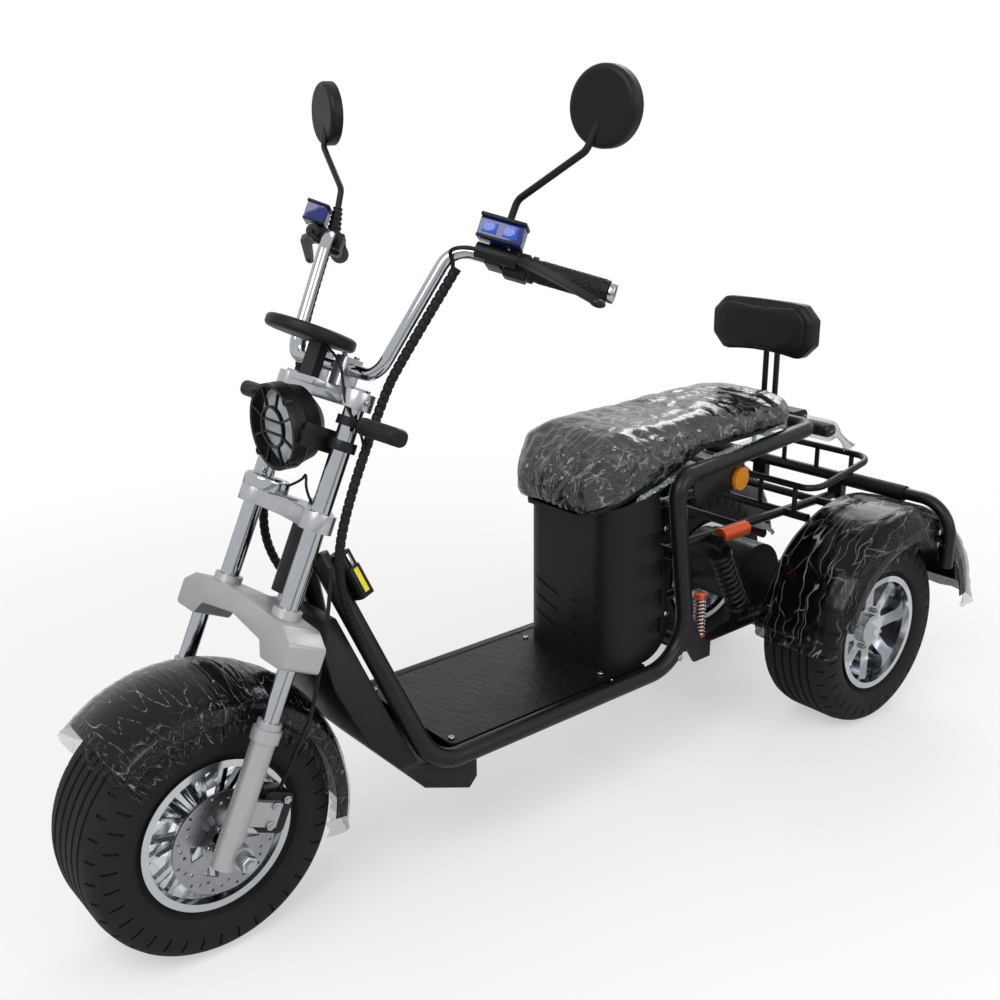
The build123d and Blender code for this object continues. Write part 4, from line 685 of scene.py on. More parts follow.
def makeFilm(name, settings):
    film, tree, shader = newMaterial("polythene_film_" + name)
    shader.inputs["IOR"].default_value = settings["ior"]
    shader.inputs["Coat Weight"].default_value = settings["coat"]
    shader.inputs["Coat Roughness"].default_value = 0.1
    place = addNode(tree, "TexCoord").outputs[settings["source"]]
    creased = addNode(tree, "Attribute", attribute_name="creased").outputs["Fac"]
    net, drag = (addNode(tree, "Mapping", values={"Scale": settings[key]},
                         links={"Vector": place}).outputs[0] for key in ("net", "drag"))
    warp = addNode(tree, "TexNoise", values={"Scale": 0.8, "Detail": 2.0}, links={"Vector": net})
    bend = addNode(tree, "Mix", data_type="RGBA", blend_type="LINEAR_LIGHT", values={0: 0.22},
                   links={6: net, 7: warp.outputs["Color"]}).outputs[2]
    edges, facets = (addNode(tree, "TexVoronoi", feature="DISTANCE_TO_EDGE",
                             values={"Scale": scale}, links={"Vector": bend}).outputs["Distance"]
                     for scale in (1.0, 2.1))
    fine = addNode(tree, "TexNoise", values={"Scale": 2.4, "Detail": 4.0},
                   links={"Vector": net}).outputs["Fac"]
    sweep = addNode(tree, "TexNoise", values={"Scale": 1.0, "Detail": 0.5},
                    links={"Vector": drag}).outputs["Fac"]

    def between(source, low, high, first, last):
        return addNode(tree, "MapRange", values={1: low, 2: high, 3: first, 4: last},
                       links={0: source}).outputs[0]

    def combine(operation, first, second):
        return addNode(tree, "Math", operation=operation, links={0: first, 1: second}).outputs[0]

    # painted highlight: thin pale streaks along the drag noise and pale lines on the crease edges are mixed
    # into the base colour; the crease lines are partly the film's own whitened folds
    drawn = addNode(tree, "Math", operation="COMPARE", values={1: 0.5, 2: 0.0065}, links={0: sweep})
    creaseWhiteAndGlints = between(edges, 0.0, settings["lineWidth"], 1.0, 0.0)
    broken = between(fine, settings["breakAt"], settings["breakAt"] + 0.18, 0.0, settings["lineShare"])
    creaseWhiteAndGlints = combine("MAXIMUM", combine("MULTIPLY", creaseWhiteAndGlints, creased), drawn.outputs[0])
    creaseWhiteAndGlints = combine("MULTIPLY", creaseWhiteAndGlints, broken)
    colours = addNode(tree, "Mix", data_type="RGBA", links={0: creaseWhiteAndGlints},
                      values={6: linearColour(settings["dark"]), 7: linearColour(settings["pale"])})
    tree.links.new(colours.outputs[2], shader.inputs["Base Color"])
    thin = between(creased, 0.6, 1.0, settings["flatCover"], settings["cover"])
    veil = addNode(tree, "MapRange", values={1: 0.0, 2: 1.0, 4: 0.92}, links={0: creaseWhiteAndGlints, 3: thin})
    tree.links.new(veil.outputs[0], shader.inputs["Alpha"])
    tree.links.new(between(fine, 0.3, 0.7, 0.1, 0.24), shader.inputs["Roughness"])
    height = addNode(tree, "Math", operation="MULTIPLY_ADD", values={1: 0.5},
                     links={0: facets, 2: edges})
    ridges = addNode(tree, "Bump", values={"Distance": settings["liftMm"] / 1000},
                     links={"Height": height.outputs[0], "Strength": between(creased, 0.0, 1.0, 0.05, 0.9)})
    tree.links.new(ridges.outputs[0], shader.inputs["Normal"])
    return film


films = {name: makeFilm(name, settings) for name, settings in filmSettings.items()}


def creaseNet(point, size):
    near = noise.voronoi(point / size)[0]
    return min(near[1] - near[0], 0.5)


def ridged(x, y, z):
    return 1 - abs(noise.noise(Vector((x, y, z)))) * 2


def loosenFilm(film, lift, nets, folds):
    film.data.update()
    rests = [(vertex.co.copy(), vertex.normal.copy()) for vertex in film.data.vertices]
    for vertex, (spot, normal) in zip(film.data.vertices, rests):
        height = lift
        for size, gain, where in nets:
            height += gain * creaseNet(spot, size) * where(spot)
        for fold, gain, where in folds:
            height += gain * fold(spot) * where(spot)
        vertex.co = spot + normal * max(height, 0.0012)


def markCreased(film, amountAt):
    creased = film.data.attributes.new("creased", "FLOAT", "POINT")
    creased.data.foreach_set("value", [amountAt(vertex.co) for vertex in film.data.vertices])


def cutAway(piece, unwanted):
    selectFaces(piece, unwanted)
    bpy.ops.mesh.delete(type="FACE")
    bpy.ops.object.mode_set(mode="OBJECT")


def filmArea(film):
    return sum(face.area for face in film.data.polygons)


seatFilmSettings = {
    "lift": 0.0020, "knot": Vector((0.01, 0.0, 0.585)),  # where the nose gathers run together
    "nose": (-0.13, -0.02), "side": (0.112, 0.136), "top": (0.752, 0.772), "underside": -0.55,
    "hemWide": 0.012, "hemRuffle": 0.0045, "hemWave": 0.008, "hemSteps": 400,
    "hem": ((-600, 146, 724), (-540, 151, 720), (-405, 152, 705), (-275, 152, 687), (-173, 151, 664),
            (-110, 148, 646)),
}


def wrapSeat(settings):
    film = linkMesh("seat_film", seat.data.copy())
    finer = film.modifiers.new("finer_net", "SUBSURF")
    finer.levels = finer.render_levels = 1
    applyModifiers(film)
    cutAway(film, lambda face: face.normal.z < settings["underside"])
    knot = settings["knot"]

    def noseFan(p):
        away = p - knot
        return ridged(atan2(away.y, away.z) * 11, away.length * 3, 0.3)

    def onNose(p):
        return ramp(p.x, *settings["nose"])

    def onSide(p):
        return ramp(abs(p.y), *settings["side"]) * (1 - onNose(p))

    def onTop(p):
        return ramp(p.z, *settings["top"]) * (1 - onNose(p))

    # cell size and rise in metres
    nets = ((0.085, 0.013, onSide), (0.034, 0.007, onSide), (0.06, 0.006, onNose), (0.07, 0.005, onTop))
    folds = (
        (noseFan, 0.0042, onNose),  # gathers that fan up from the knot under the nose
        (lambda p: ridged(p.x * 22 + p.z * 16, p.y * 4, p.z * 5), 0.0036, onSide),  # drags down the sides
        (lambda p: ridged(p.x * 9 + p.y * 16, p.y * 3 - p.x * 26, 0.7), 0.0016, onTop),  # slack over the top
    )
    markCreased(film, lambda p: min(1.0, onSide(p) + 0.75 * onNose(p) + 0.3))
    loosenFilm(film, settings["lift"], nets, folds)
    return settle(film, "frame", "lens", films["gathered"], angle=75)


def crimpHem(settings):
    steps = settings["hemSteps"]
    line = smoothLine([mm(*point) for point in settings["hem"]])
    spots = [station[0] for station in evenStations(line, steps)]
    wave = settings["hemWave"]

    def place(u, v):
        step = min(round(v * steps), steps)
        spot = spots[step]
        run = (spots[min(step + 1, steps)] - spots[max(step - 1, 0)]).normalized()
        out = Vector((run.y, -run.x, 0)).normalized()
        if out.dot(Vector((spot.x + 0.3, spot.y, 0))) < 0:
            out = -out
        ruffle = ridged(v * 0.2 / wave, u * 0.7, 0.2) + 0.5 * ridged(v * 0.5 / wave, u * 1.4, 3.1)
        ruffle *= settings["hemRuffle"] * (0.35 + 0.65 * abs(2 * u - 1))
        drop = (u - 0.5) * settings["hemWide"] * (1 + 0.4 * noise.noise(spot * 60))
        return spot + Vector((0, 0, drop)) + out * (0.003 + ruffle)

    left = gridPiece("seat_film_hem", 5, steps, place)
    hem = joinPieces("seat_film_hem", [left, copyPiece(left, "seat_film_hem_right", mirrored)])
    markCreased(hem, lambda p: 1.0)
    return settle(hem, "frame", "lens", films["crimped"], angle=80)


seatCover = wrapSeat(seatFilmSettings)
seatHem = crimpHem(seatFilmSettings)
print("seat film area", filmArea(seatCover), filmArea(seatHem))


# loose film over the fenders: a sheet laid over the crown, with a ragged hem that hangs past the skirts
frontFilmSettings = {"centre": (833, 229), "crownRadius": 230.8, "crownCentre": 44.2, "half": 112,
                     "skirt": 27, "hem": 24, "start": 45, "end": 199, "across": 110, "along": 400}
rearFilmSettings = {"centre": (-762, 235), "start": 5, "end": 176, "hem": 20, "frontHem": 44, "across": 100,
                    "along": 230, "profile": (
                        (198, 279), (203, 287), (214, 298.5), (240, 301), (270, 302.5), (316, 302.5),
                        (362, 302), (384, 296), (402, 285), (410, 271), (414.5, 256), (414.5, 233))}


def alongProfile(points, share):
    lengths = [0.0]
    for before, after in zip(points, points[1:]):
        lengths.append(lengths[-1] + ((after[0] - before[0]) ** 2 + (after[1] - before[1]) ** 2) ** 0.5)
    goal = lengths[-1] * share
    for index in range(len(points) - 1):
        if goal <= lengths[index + 1] + 1e-6:
            part = (goal - lengths[index]) / (lengths[index + 1] - lengths[index])
            before, after = Vector(points[index]), Vector(points[index + 1])
            run = (after - before).normalized()
            return before + (after - before) * part, Vector((-run.y, run.x)), goal
    return Vector(points[-1]), Vector((1, 0)), lengths[-1]


# how far film stands off: a base, a large and a small net of creases as rise and cell size, and drags; metres
crumpleSettings = {"base": 0.0022, "large": (0.0065, 0.075), "small": (0.003, 0.03), "drags": 0.0022}


def crumple(spot, loose, slack=1.0, settings=crumpleSettings):
    (largeRise, largeSize), (smallRise, smallSize) = settings["large"], settings["small"]
    rise = largeRise * slack * creaseNet(spot, largeSize)
    rise += smallRise * slack * slack * creaseNet(spot + Vector((0.3, 0.1, 0.2)), smallSize)
    drags = settings["drags"] * loose * ridged(spot.x * 40, spot.y * 12, spot.z * 40)
    return settings["base"] + rise * (1 + loose) + drags


def frontFilm(settings):
    half, skirt, hem = settings["half"], settings["skirt"], settings["hem"]
    crown = [(y, settings["crownCentre"] + (settings["crownRadius"] ** 2 - y * y) ** 0.5)
             for y in range(-half, half + 1, 8)]
    edge = crown[0][1]
    points = ([(-half - 9, edge - skirt - hem), (-half - 5, edge - skirt)] + crown
              + [(half + 5, edge - skirt), (half + 9, edge - skirt - hem)])
    total = alongProfile(points, 1.0)[2]

    def place(u, v):
        flat, normal, reach = alongProfile(points, u)
        turn = radians(settings["start"] + (settings["end"] - settings["start"]) * v)
        radial = Vector((cos(turn), 0, sin(turn)))
        rough = mm(settings["centre"][0], flat.x, settings["centre"][1]) + radial * flat.y / 1000
        near = min(reach, total - reach)
        free = max(ramp(hem + 10 - near, 0, hem), ramp(0.035 - v, 0, 0.03), ramp(v - 0.955, 0, 0.04))
        bunched = max(free, ramp(hem + skirt + 16 - near, 0, 40))
        stretched = max(ridged(v * 58 + 0.5 * noise.noise(rough * 14), u * 1.6, 0.3), 0.0) ** 7
        out = 0.0026 + 0.0011 * stretched + 0.7 * bunched * crumple(rough, free)
        wave = noise.noise(Vector((v * 46, u * 5, 1.7))) + 0.6 * noise.noise(Vector((v * 105, u * 9, 4.2)))
        out += 0.0085 * free * max(wave, -0.3)
        raggedLift = 0.012 * free * noise.noise(Vector((v * 38, 2.0 if u < 0.5 else 6.0, 0.5)))
        return rough + Vector((0, normal.x * out, 0)) + radial * (normal.y * out + raggedLift)

    film = gridPiece("front_fender_film", settings["across"], settings["along"], place)
    markCreased(film, lambda p: max(ramp(abs(p.y), 0.078, 0.112), ramp(p.x, 0.985, 1.01),
                                    ramp(0.62 - p.x, 0, 0.04)))
    return settle(film, "steering", "lens", films["loose"], angle=75)


def rearFilm(settings, side, name):
    def place(u, v):
        degree = settings["start"] + (settings["end"] - settings["start"]) * v
        hem = settings["hem"] + settings["frontHem"] * ramp(70 - degree, 0, 45)
        hem *= 0.75 + 0.5 * noise.noise(Vector((v * 30, side * 3.0, 0.4)))
        points = list(settings["profile"]) + [(417, 233 - hem * 0.5), (419, 233 - hem)]
        flat, normal, reach = alongProfile(points, u)
        turn = radians(degree)
        radial = Vector((cos(turn), 0, sin(turn)))
        rough = mm(settings["centre"][0], side * flat.x, settings["centre"][1]) + radial * flat.y / 1000
        free = max(ramp(250 - flat.y, 0, 30) * ramp(flat.x, 380, 410), ramp(18 - degree, 0, 8),
                   ramp(degree - 169, 0, 6))
        out = crumple(rough, free, 0.3 + 0.7 * max(free, ramp(flat.x, 355, 405)))
        wave = noise.noise(Vector((v * 52, u * 6, side * 2.3)))
        wave += 0.6 * noise.noise(Vector((v * 118, u * 10, 4.2)))
        out += 0.009 * free * max(wave, -0.25)
        return rough + Vector((0, side * normal.x * out, 0)) + radial * normal.y * out

    film = gridPiece(name, settings["across"], settings["along"], place)
    markCreased(film, lambda p: 0.6 + 0.4 * ramp(abs(p.y), 0.36, 0.41))
    return settle(film, "frame", "lens", films["stretched"], angle=75)


frontCover = frontFilm(frontFilmSettings)
leftCover = rearFilm(rearFilmSettings, 1, "rear_fender_film_left")
rightCover = rearFilm(rearFilmSettings, -1, "rear_fender_film_right")
print("fender film areas", filmArea(frontCover), filmArea(leftCover), filmArea(rightCover))


# wrapped harness: a soft sleeve of spiral wrap, from the bar down past the fork to the neck
harnessSettings = {
    "radius": 0.0086, "wrapPitch": 0.0135, "wrapDeep": 0.0022,
    "route": (onFork(22, 200, 1035), onFork(42, 162, 862), onFork(32, 133, 800), onFork(32, 133, 570),
              onFork(-8, 128, 470), mm(546.7, 91.6, 544.2), mm(534.6, 103.9, 508.1)),
    "bendFrom": (0.538, 0.100, 0.520), "bendTo": (0.593, 0.128, 0.636),
}
hoseSettings = {
    "radius": 0.0035,
    "route": (onFork(-24, 128, 104), onFork(-22, 138, 150), onFork(-16, 150, 190), onFork(-4, 174, 250),
              onFork(4, 176, 300), onFork(8, 150, 420), onFork(24, 134, 500)),
}


def leftRight(points, side):
    return [Vector((point.x, side * point.y, point.z)) for point in points]


def wrapHarness(settings, side, name):
    line = smoothLine(leftRight(settings["route"], side))
    long = lineLength(line)
    turns = long / settings["wrapPitch"]

    def radiusAt(u, v):
        lap = (v * turns + u) % 1.0
        return settings["radius"] - settings["wrapDeep"] * (1 - min(lap / 0.18, 1.0, (1 - lap) / 0.18 + 0.15))

    sleeve = tubeAlong(name, line, radiusAt, 14, int(turns * 7))
    activate(sleeve)
    bpy.ops.object.shade_smooth_by_angle(angle=radians(50))
    sleeve.data.materials.append(surfaces["rubber"])
    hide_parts("bar_harness")
    first, last = leftRight([Vector(settings["bendFrom"]), Vector(settings["bendTo"])], side)
    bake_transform(sleeve)
    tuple(line[0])
    print(name, round(long, 3))


def runLead(name, points, radius, hides=()):
    lead = cordCurve(name, points, radius)
    lead.data.materials.append(surfaces["rubber"])
    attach(lead, "steering")
    if hides:
        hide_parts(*hides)
    line = curveLine(lead)
    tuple(line[0])
    lineLength(line)
    print(name, round(lineLength(line), 3))


for side, name in ((1, "left"), (-1, "right")):
    wrapHarness(harnessSettings, side, "harness_wrap_" + name)
runLead("front_brake_hose", hoseSettings["route"], hoseSettings["radius"], ["brake_hose"])


# springs: black coils on the dampers, bright short coils on the helper rods
damperSettings = {"foot": (-471, 150, 300), "top": (-371, 150, 495), "from": 27, "to": 174, "coil": 22.3,
                  "wire": 3.6, "turns": 8.5, "inset": 3.8}
helperSettings = {"place": (-362, 122), "low": 257.5, "high": 361, "coil": 12.2, "wire": 2.4, "turns": 9.5,
                  "rod": 7.5, "cap": 14.5}


def windPair(name, line, wire, around, slotName, node):
    left = tubeAlong(name, line, lambda u, v: wire / 1000, around, len(line) - 1)
    coils = joinPieces(name + "s", [left, copyPiece(left, name + "_right", mirrored)])
    closeUp(coils)
    settle(coils, "frame", slotName, hides=[node], angle=60)


def coilSprings(settings):
    foot, top = mm(*settings["foot"]), mm(*settings["top"])
    run = (top - foot).normalized() / 1000
    start, end = settings["from"] + settings["inset"], settings["to"] - settings["inset"]
    line = helixLine(foot + run * start, foot + run * end, settings["coil"] / 1000, settings["turns"])
    windPair("damper_coil", line, settings["wire"], 10, "black_paint", "damper_springs")


def helperCoils(settings):
    x, y = settings["place"]
    low, high = settings["low"] + 8, settings["high"] - 10
    line = helixLine(mm(x, y, low), mm(x, y, high), settings["coil"] / 1000, settings["turns"])
    windPair("helper_coil", line, settings["wire"], 8, "chrome", "helper_springs")
    turned = ((settings["low"], low + 1, settings["cap"]), (high - 1, settings["high"], settings["cap"]),
              (low, high, settings["rod"]))
    ends = []
    for side in (1, -1):
        for foot, top, radius in turned:
            corners = ((0, foot), (radius, foot), (radius, top), (0, top))
            outline = [mm(x + r, side * y, z) for r, z in corners]
            ends.append(spinPiece("helper_end", outline, mm(x, side * y, foot), (0, 0, 1), 28))
    ends = joinPieces("helper_rods", ends)
    closeUp(ends)
    addBevel(ends, 0.0012)
    settle(ends, "frame", "orange_paint")


coilSprings(damperSettings)
helperCoils(helperSettings)
print("springs wound")


# headlight: a faceted bright bowl with a clear projector in the middle, seen through the guard
lampSettings = {"centre": onFork(131, 0, 694), "facets": 24,
                "bowl": ((-43, 4), (-43, 15), (-40, 26), (-35, 40), (-28, 53), (-21.5, 65)),
                "dome": ((-42, 0), (-42, 14), (-36, 14), (-30, 11), (-27, 6), (-26, 0))}


def lampBowl(settings):
    centre = settings["centre"]
    outer = [(x - 1.2, r + 0.5) for x, r in reversed(settings["bowl"])]
    outline = [centre + mm(x, 0, r) for x, r in list(settings["bowl"]) + outer]
    bowl = spinPiece("headlight_bowl", outline, centre, (1, 0, 0), settings["facets"])
    settle(bowl, "steering", "chrome", polishedWheel, angle=5)
    outline = [centre + mm(x, 0, r) for x, r in settings["dome"]]
    dome = spinPiece("headlight_projector", outline, centre, (1, 0, 0), 32)
    settle(dome, "steering", "lens", surfaces["mirror_face"], angle=40)


lampBowl(lampSettings)
print("headlight filled")


# screws and nuts: one head of each kind, copied to its places; bevel and middle are shares of the height
headSettings = {
    "dome": {"radius": 6.5, "height": 4.6, "sides": 20, "bevel": 0.42, "middle": -0.4},
    "hex": {"radius": 8.0, "height": 6.0, "sides": 6, "bevel": 0.14, "middle": 0.35},
    "cap": {"radius": 5.2, "height": 5.6, "sides": 18, "bevel": 0.42, "middle": -0.4},
    "nut": {"radius": 15.5, "height": 11.0, "sides": 6, "bevel": 0.14, "middle": 0.35},
    "lug": {"radius": 7.2, "height": 9.0, "sides": 6, "bevel": 0.14, "middle": 0.35},
}


def boltHead(name, settings):
    deselectAll()
    height, radius = settings["height"] / 1000, settings["radius"] / 1000
    bpy.ops.mesh.primitive_cylinder_add(vertices=settings["sides"], radius=radius, depth=height,
                                        location=(0, 0, height / 2))
    head = bpy.context.object
    head.name = name
    bpy.ops.object.transform_apply(location=True)
    addBevel(head, height * settings["bevel"], 4)
    selectFaces(head, lambda face: face.normal.z > 0.99 and face.center.z > height * 0.9)
    bpy.ops.mesh.inset(thickness=radius * 0.28)
    bpy.ops.mesh.extrude_region_move(TRANSFORM_OT_translate={"value": (0, 0, height * settings["middle"])})
    bpy.ops.object.mode_set(mode="OBJECT")
    return head


heads = {kind: boltHead("head_" + kind, settings) for kind, settings in headSettings.items()}


def bothSides(spots):
    return [(Vector((p.x, s * p.y, p.z)), Vector((d[0], s * d[1], d[2]))) for p, d in spots for s in (1, -1)]


def setBolts(name, kind, body, slotName, spots):
    copies = [copyPiece(heads[kind], name + "_" + str(i), facing(place, direction))
              for i, (place, direction) in enumerate(spots)]
    settle(joinPieces(name, copies) if len(copies) > 1 else copies[0], body, slotName, angle=40)


out, up, lift = Vector((0, 1, 0)), Vector((0, 0, 1)), forkUp
setBolts("deck_screws", "dome", "frame", "chrome", bothSides([
    (mm(-46, 122, 262), up), (mm(364, 132, 262), up)]))
setBolts("shell_screws", "dome", "frame", "chrome", bothSides([
    (mm(-221, 143, 360), out), (mm(-212, 143, 560), out)]))
setBolts("heel_bolts", "hex", "frame", "chrome", bothSides([(mm(-222, 186, 268), out)]))
setBolts("yoke_bolts", "cap", "steering", "steel", bothSides([
    (onFork(60, 134, 780), out), (onFork(47, 46, 846), lift), (onFork(73, 46, 846), lift)]))
setBolts("axle_nuts", "nut", "steering", "chrome", bothSides([(onFork(38, 190, 0), out)]))
setBolts("caliper_bolts", "hex", "steering", "chrome", [
    (onFork(-12, 149, 84), out), (onFork(-12, 149, 48), out), (onFork(-38, 137, 92), out)])
setBolts("hoop_bolts", "dome", "frame", "chrome", bothSides([
    (mm(-851, 416, 474), out), (mm(-848, 416, 446), out)]))
setBolts("top_nut", "nut", "steering", "chrome", [(onFork(0, 0, 582), lift)])


def ringSpots(radius, count, x, y, z, first=0):
    outward = Vector((0, 1 if y > 0 else -1, 0))
    turns = [first + 2 * pi * i / count for i in range(count)]
    return [(mm(x + radius * cos(turn), y, z + radius * sin(turn)), outward) for turn in turns]


for side, name in ((1, "left"), (-1, "right")):
    setBolts("rear_lug_nuts_" + name, "lug", "rear_wheel_" + name, "chrome",
             ringSpots(45, 4, -747, side * 317, 229, pi / 8))
setBolts("disc_bolts", "cap", "front_wheel", "steel", ringSpots(30, 5, 833, 112, 229))
for head in heads.values():
    bpy.data.objects.remove(head)
print("fasteners set")


# cast and moulded parts: a closed copy of the solid with its hard edges rounded, by this many millimetres
roundings = {
    "fork_crown": ("steering", "silver_paint", 3.0), "fork_yokes": ("steering", "cast_silver", 2.2),
    "neck_fairing": ("frame", "black_plastic", 3.0), "brake_masters": ("steering", "black_plastic", 2.0),
    "switch_pods": ("steering", "black_plastic", 2.0), "fluid_tanks": ("steering", "blue_tank", 1.2),
    "grip_caps": ("steering", "chrome", 2.6), "headlight_bracket": ("steering", "black_paint", 1.0),
    "brake_caliper": ("steering", "black_paint", 2.4), "key_box": ("frame", "black_plastic", 1.6),
    "side_plates": ("frame", "black_paint", 0.8), "horn": ("steering", "chrome", 2.0),
    "rear_lamps": ("frame", "black_plastic", 1.4),
}


def roundNode(node, body, slotName, width):
    piece = linkMesh(node + "_rounded", nodes[node].data.copy())
    closeUp(piece)
    activate(piece, "EDIT")
    bpy.ops.mesh.dissolve_limited(angle_limit=radians(1.0))
    bpy.ops.object.mode_set(mode="OBJECT")
    addBevel(piece, width / 1000, 3, 38)
    return settle(piece, body, slotName, hides=[node], angle=40)


rounded = {node: roundNode(node, *settings) for node, settings in roundings.items()}
print("edges rounded")
plainAxes = [Vector((1, 0, 0)), Vector((0, 1, 0)), Vector((0, 0, 1))]


def stretchTo(piece, centre, axes, sizes):
    for vertex in piece.data.vertices:
        moves = (axis * (share * size / 1000) for axis, share, size in zip(axes, vertex.co, sizes))
        vertex.co = centre + sum(moves, Vector())
    closeUp(piece)


def boxAt(name, centre, axes, sizes, bevel):
    deselectAll()
    bpy.ops.mesh.primitive_cube_add(size=1)
    box = bpy.context.object
    box.name = box.data.name = name
    stretchTo(box, centre, axes, sizes)
    addBevel(box, bevel / 1000)
    return box


# headlight guard: a thin ring on four lugs, a second ring inside it, spokes between and two bars across
guardSettings = {"centre": onFork(131, 0, 694), "deep": 6.5, "outer": (69.5, 75.5), "inner": (33, 37),
                 "spokes": 8, "bar": 3.6, "barBevel": 0.8, "bars": (-11, 11), "lugAt": 74, "lugBack": -5,
                 "lug": ((0, 0), (0, 7), (13, 7), (13, 4.5), (10, 4.5), (10, 0))}


def makeGuard(settings):
    centre, deep, bevel = settings["centre"], settings["deep"], settings["barBevel"]
    inner, outer = settings["inner"], settings["outer"]
    parts = []
    for low, high in (outer, inner):
        outline = [centre + mm(x, 0, r) for x, r in ((0, low), (deep, low), (deep, high), (0, high))]
        parts.append(spinPiece("guard_ring", outline, centre, (1, 0, 0), 72))
    middle = (inner[1] + outer[0]) / 2
    for step in range(settings["spokes"]):
        turn = 2 * pi * (step + 0.5) / settings["spokes"]
        radial, across = Vector((0, cos(turn), sin(turn))), Vector((0, -sin(turn), cos(turn)))
        parts.append(boxAt("guard_bar", centre + mm(deep / 2, 0, 0) + radial * middle / 1000,
                           [plainAxes[0], radial, across],
                           (deep - 1, outer[0] - inner[1] + 2, settings["bar"]), bevel))
    for level in settings["bars"]:
        wide = 2 * (inner[0] ** 2 - level ** 2) ** 0.5 + 2
        parts.append(boxAt("guard_bar", centre + mm(deep / 2, 0, level), plainAxes,
                           (deep - 1, wide, settings["bar"]), bevel))
    for step in range(4):
        turn = pi * (step + 0.5) / 2
        spot = centre + mm(settings["lugBack"], settings["lugAt"] * cos(turn), settings["lugAt"] * sin(turn))
        outline = [spot + mm(x, 0, r) for x, r in settings["lug"]]
        parts.append(spinPiece("guard_lug", outline, spot, (1, 0, 0), 20))
    guard = joinPieces("headlight_guard_fine", parts)
    settle(guard, "steering", "black_paint", hides=["headlight_guard"], angle=40)


makeGuard(guardSettings)
print("guard made")

# handlebar ends: diamond-pattern grips, tank lids and windows, lever ends, ribbed boots on the mirror stems
barBend, barEnd = onFork(36, 190, 1065), onFork(-130, 397, 1069)
barRun = (barEnd - barBend).normalized()
barAhead = (forkAhead - barRun * forkAhead.dot(barRun)).normalized()
barDown = barRun.cross(barAhead)
barLong = (barEnd - barBend).length * 1000
gripSettings = {"long": 130, "radius": 17.5, "raise": 1.5, "collar": 22, "collarLong": 8, "rows": 12,
                "rings": 9, "around": 72, "steps": 110, "edge": 3.2, "plain": 0.6, "plainFrom": 0.06,
                "plainTo": 0.96}
tankSettings = {"ahead": 42, "low": -16.3, "high": -50.3, "along": barLong - 184, "wide": 40, "long": 72,
                "lid": 6.5, "over": 1.8, "windows": (-17, 17), "windowDown": -33.5,
                "windowSize": (1.6, 17, 24)}
bootSettings = {"foot": (2, -18, barLong - 188), "towards": (-4, 262, 1165), "long": 0.044, "ribs": 5,
                "radius": 12.5, "taper": 4.5, "ribRise": 1.6}
leverSettings = {"start": barLong - 147.7, "droop": 0.032, "ahead": 55, "down": 32, "along": barLong - 4,
                 "size": (8.5, 7.0, 13.0)}
# dyed acrylic sight glass: a brighter blue than the tank
windowGlass = makeSurface("blue_acrylic_window", "#1c52bd", "#123a94", 0.1, 0.03, patchMm=20)


def onGrip(ahead, down, along, side=1):
    spot = barBend + (barAhead * ahead + barDown * down + barRun * along) / 1000
    return Vector((spot.x, side * spot.y, spot.z))


def zigzag(value):
    return abs(2 * (value % 1.0) - 1)


def makeGrips(settings):
    share = settings["collarLong"] / settings["long"]

    def radiusAt(u, v):
        if v < share:
            return settings["collar"] / 1000
        first = zigzag(u * settings["rows"] + (v - share) * settings["rings"])
        second = zigzag(u * settings["rows"] - (v - share) * settings["rings"])
        flat = min(min(first, second) * settings["edge"], 1.0)
        if v < share + settings["plainFrom"] or v > settings["plainTo"]:
            flat = settings["plain"]
        return (settings["radius"] + settings["raise"] * flat) / 1000

    grips = []
    for side in (1, -1):
        line = [onGrip(0, 0, barLong - settings["long"], side), onGrip(0, 0, barLong, side)]
        grips.append(tubeAlong("grip", line, radiusAt, settings["around"], settings["steps"]))
    settle(joinPieces("diamond_grips", grips), "steering", "rubber", hides=["grips"], angle=40)


def sideAxes(side):
    return leftRight((barAhead, barDown, barRun), side)


def tankTrim(settings):
    lids, windows = [], []
    ahead, along, wide, long = (settings[key] for key in ("ahead", "along", "wide", "long"))
    over, lidDown = 2 * settings["over"], settings["high"] - settings["lid"] / 2 + 0.6
    for side in (1, -1):
        axes = sideAxes(side)
        lids.append(boxAt("lid", onGrip(ahead, lidDown, along, side), axes,
                          (wide + over, settings["lid"], long + over), 2.0))
        lids.append(boxAt("base", onGrip(ahead, settings["low"] - 2.6, along, side), axes,
                          (wide + 1.6, 4.4, long + 1.6), 1.4))
        for shift in settings["windows"]:
            place = onGrip(ahead + wide / 2, settings["windowDown"], along + shift, side)
            windows.append(boxAt("window", place, axes, settings["windowSize"], 0.6))
    settle(joinPieces("tank_lids", lids), "steering", "black_plastic", angle=40)
    settle(joinPieces("tank_windows", windows), "steering", "blue_tank", windowGlass, angle=40)


def ribBoots(settings):
    def radiusAt(u, v):
        rib = ramp(zigzag(v * settings["ribs"]), 0.25, 0.75)
        return (settings["radius"] - settings["taper"] * v + settings["ribRise"] * rib) / 1000

    boots = []
    for side in (1, -1):
        foot = onGrip(*settings["foot"], side)
        run = (leftRight([onFork(*settings["towards"])], side)[0] - foot).normalized()
        boots.append(tubeAlong("boot", [foot - run * 0.004, foot + run * settings["long"]], radiusAt, 28, 40))
    settle(joinPieces("mirror_boots", boots), "steering", "rubber", angle=50)


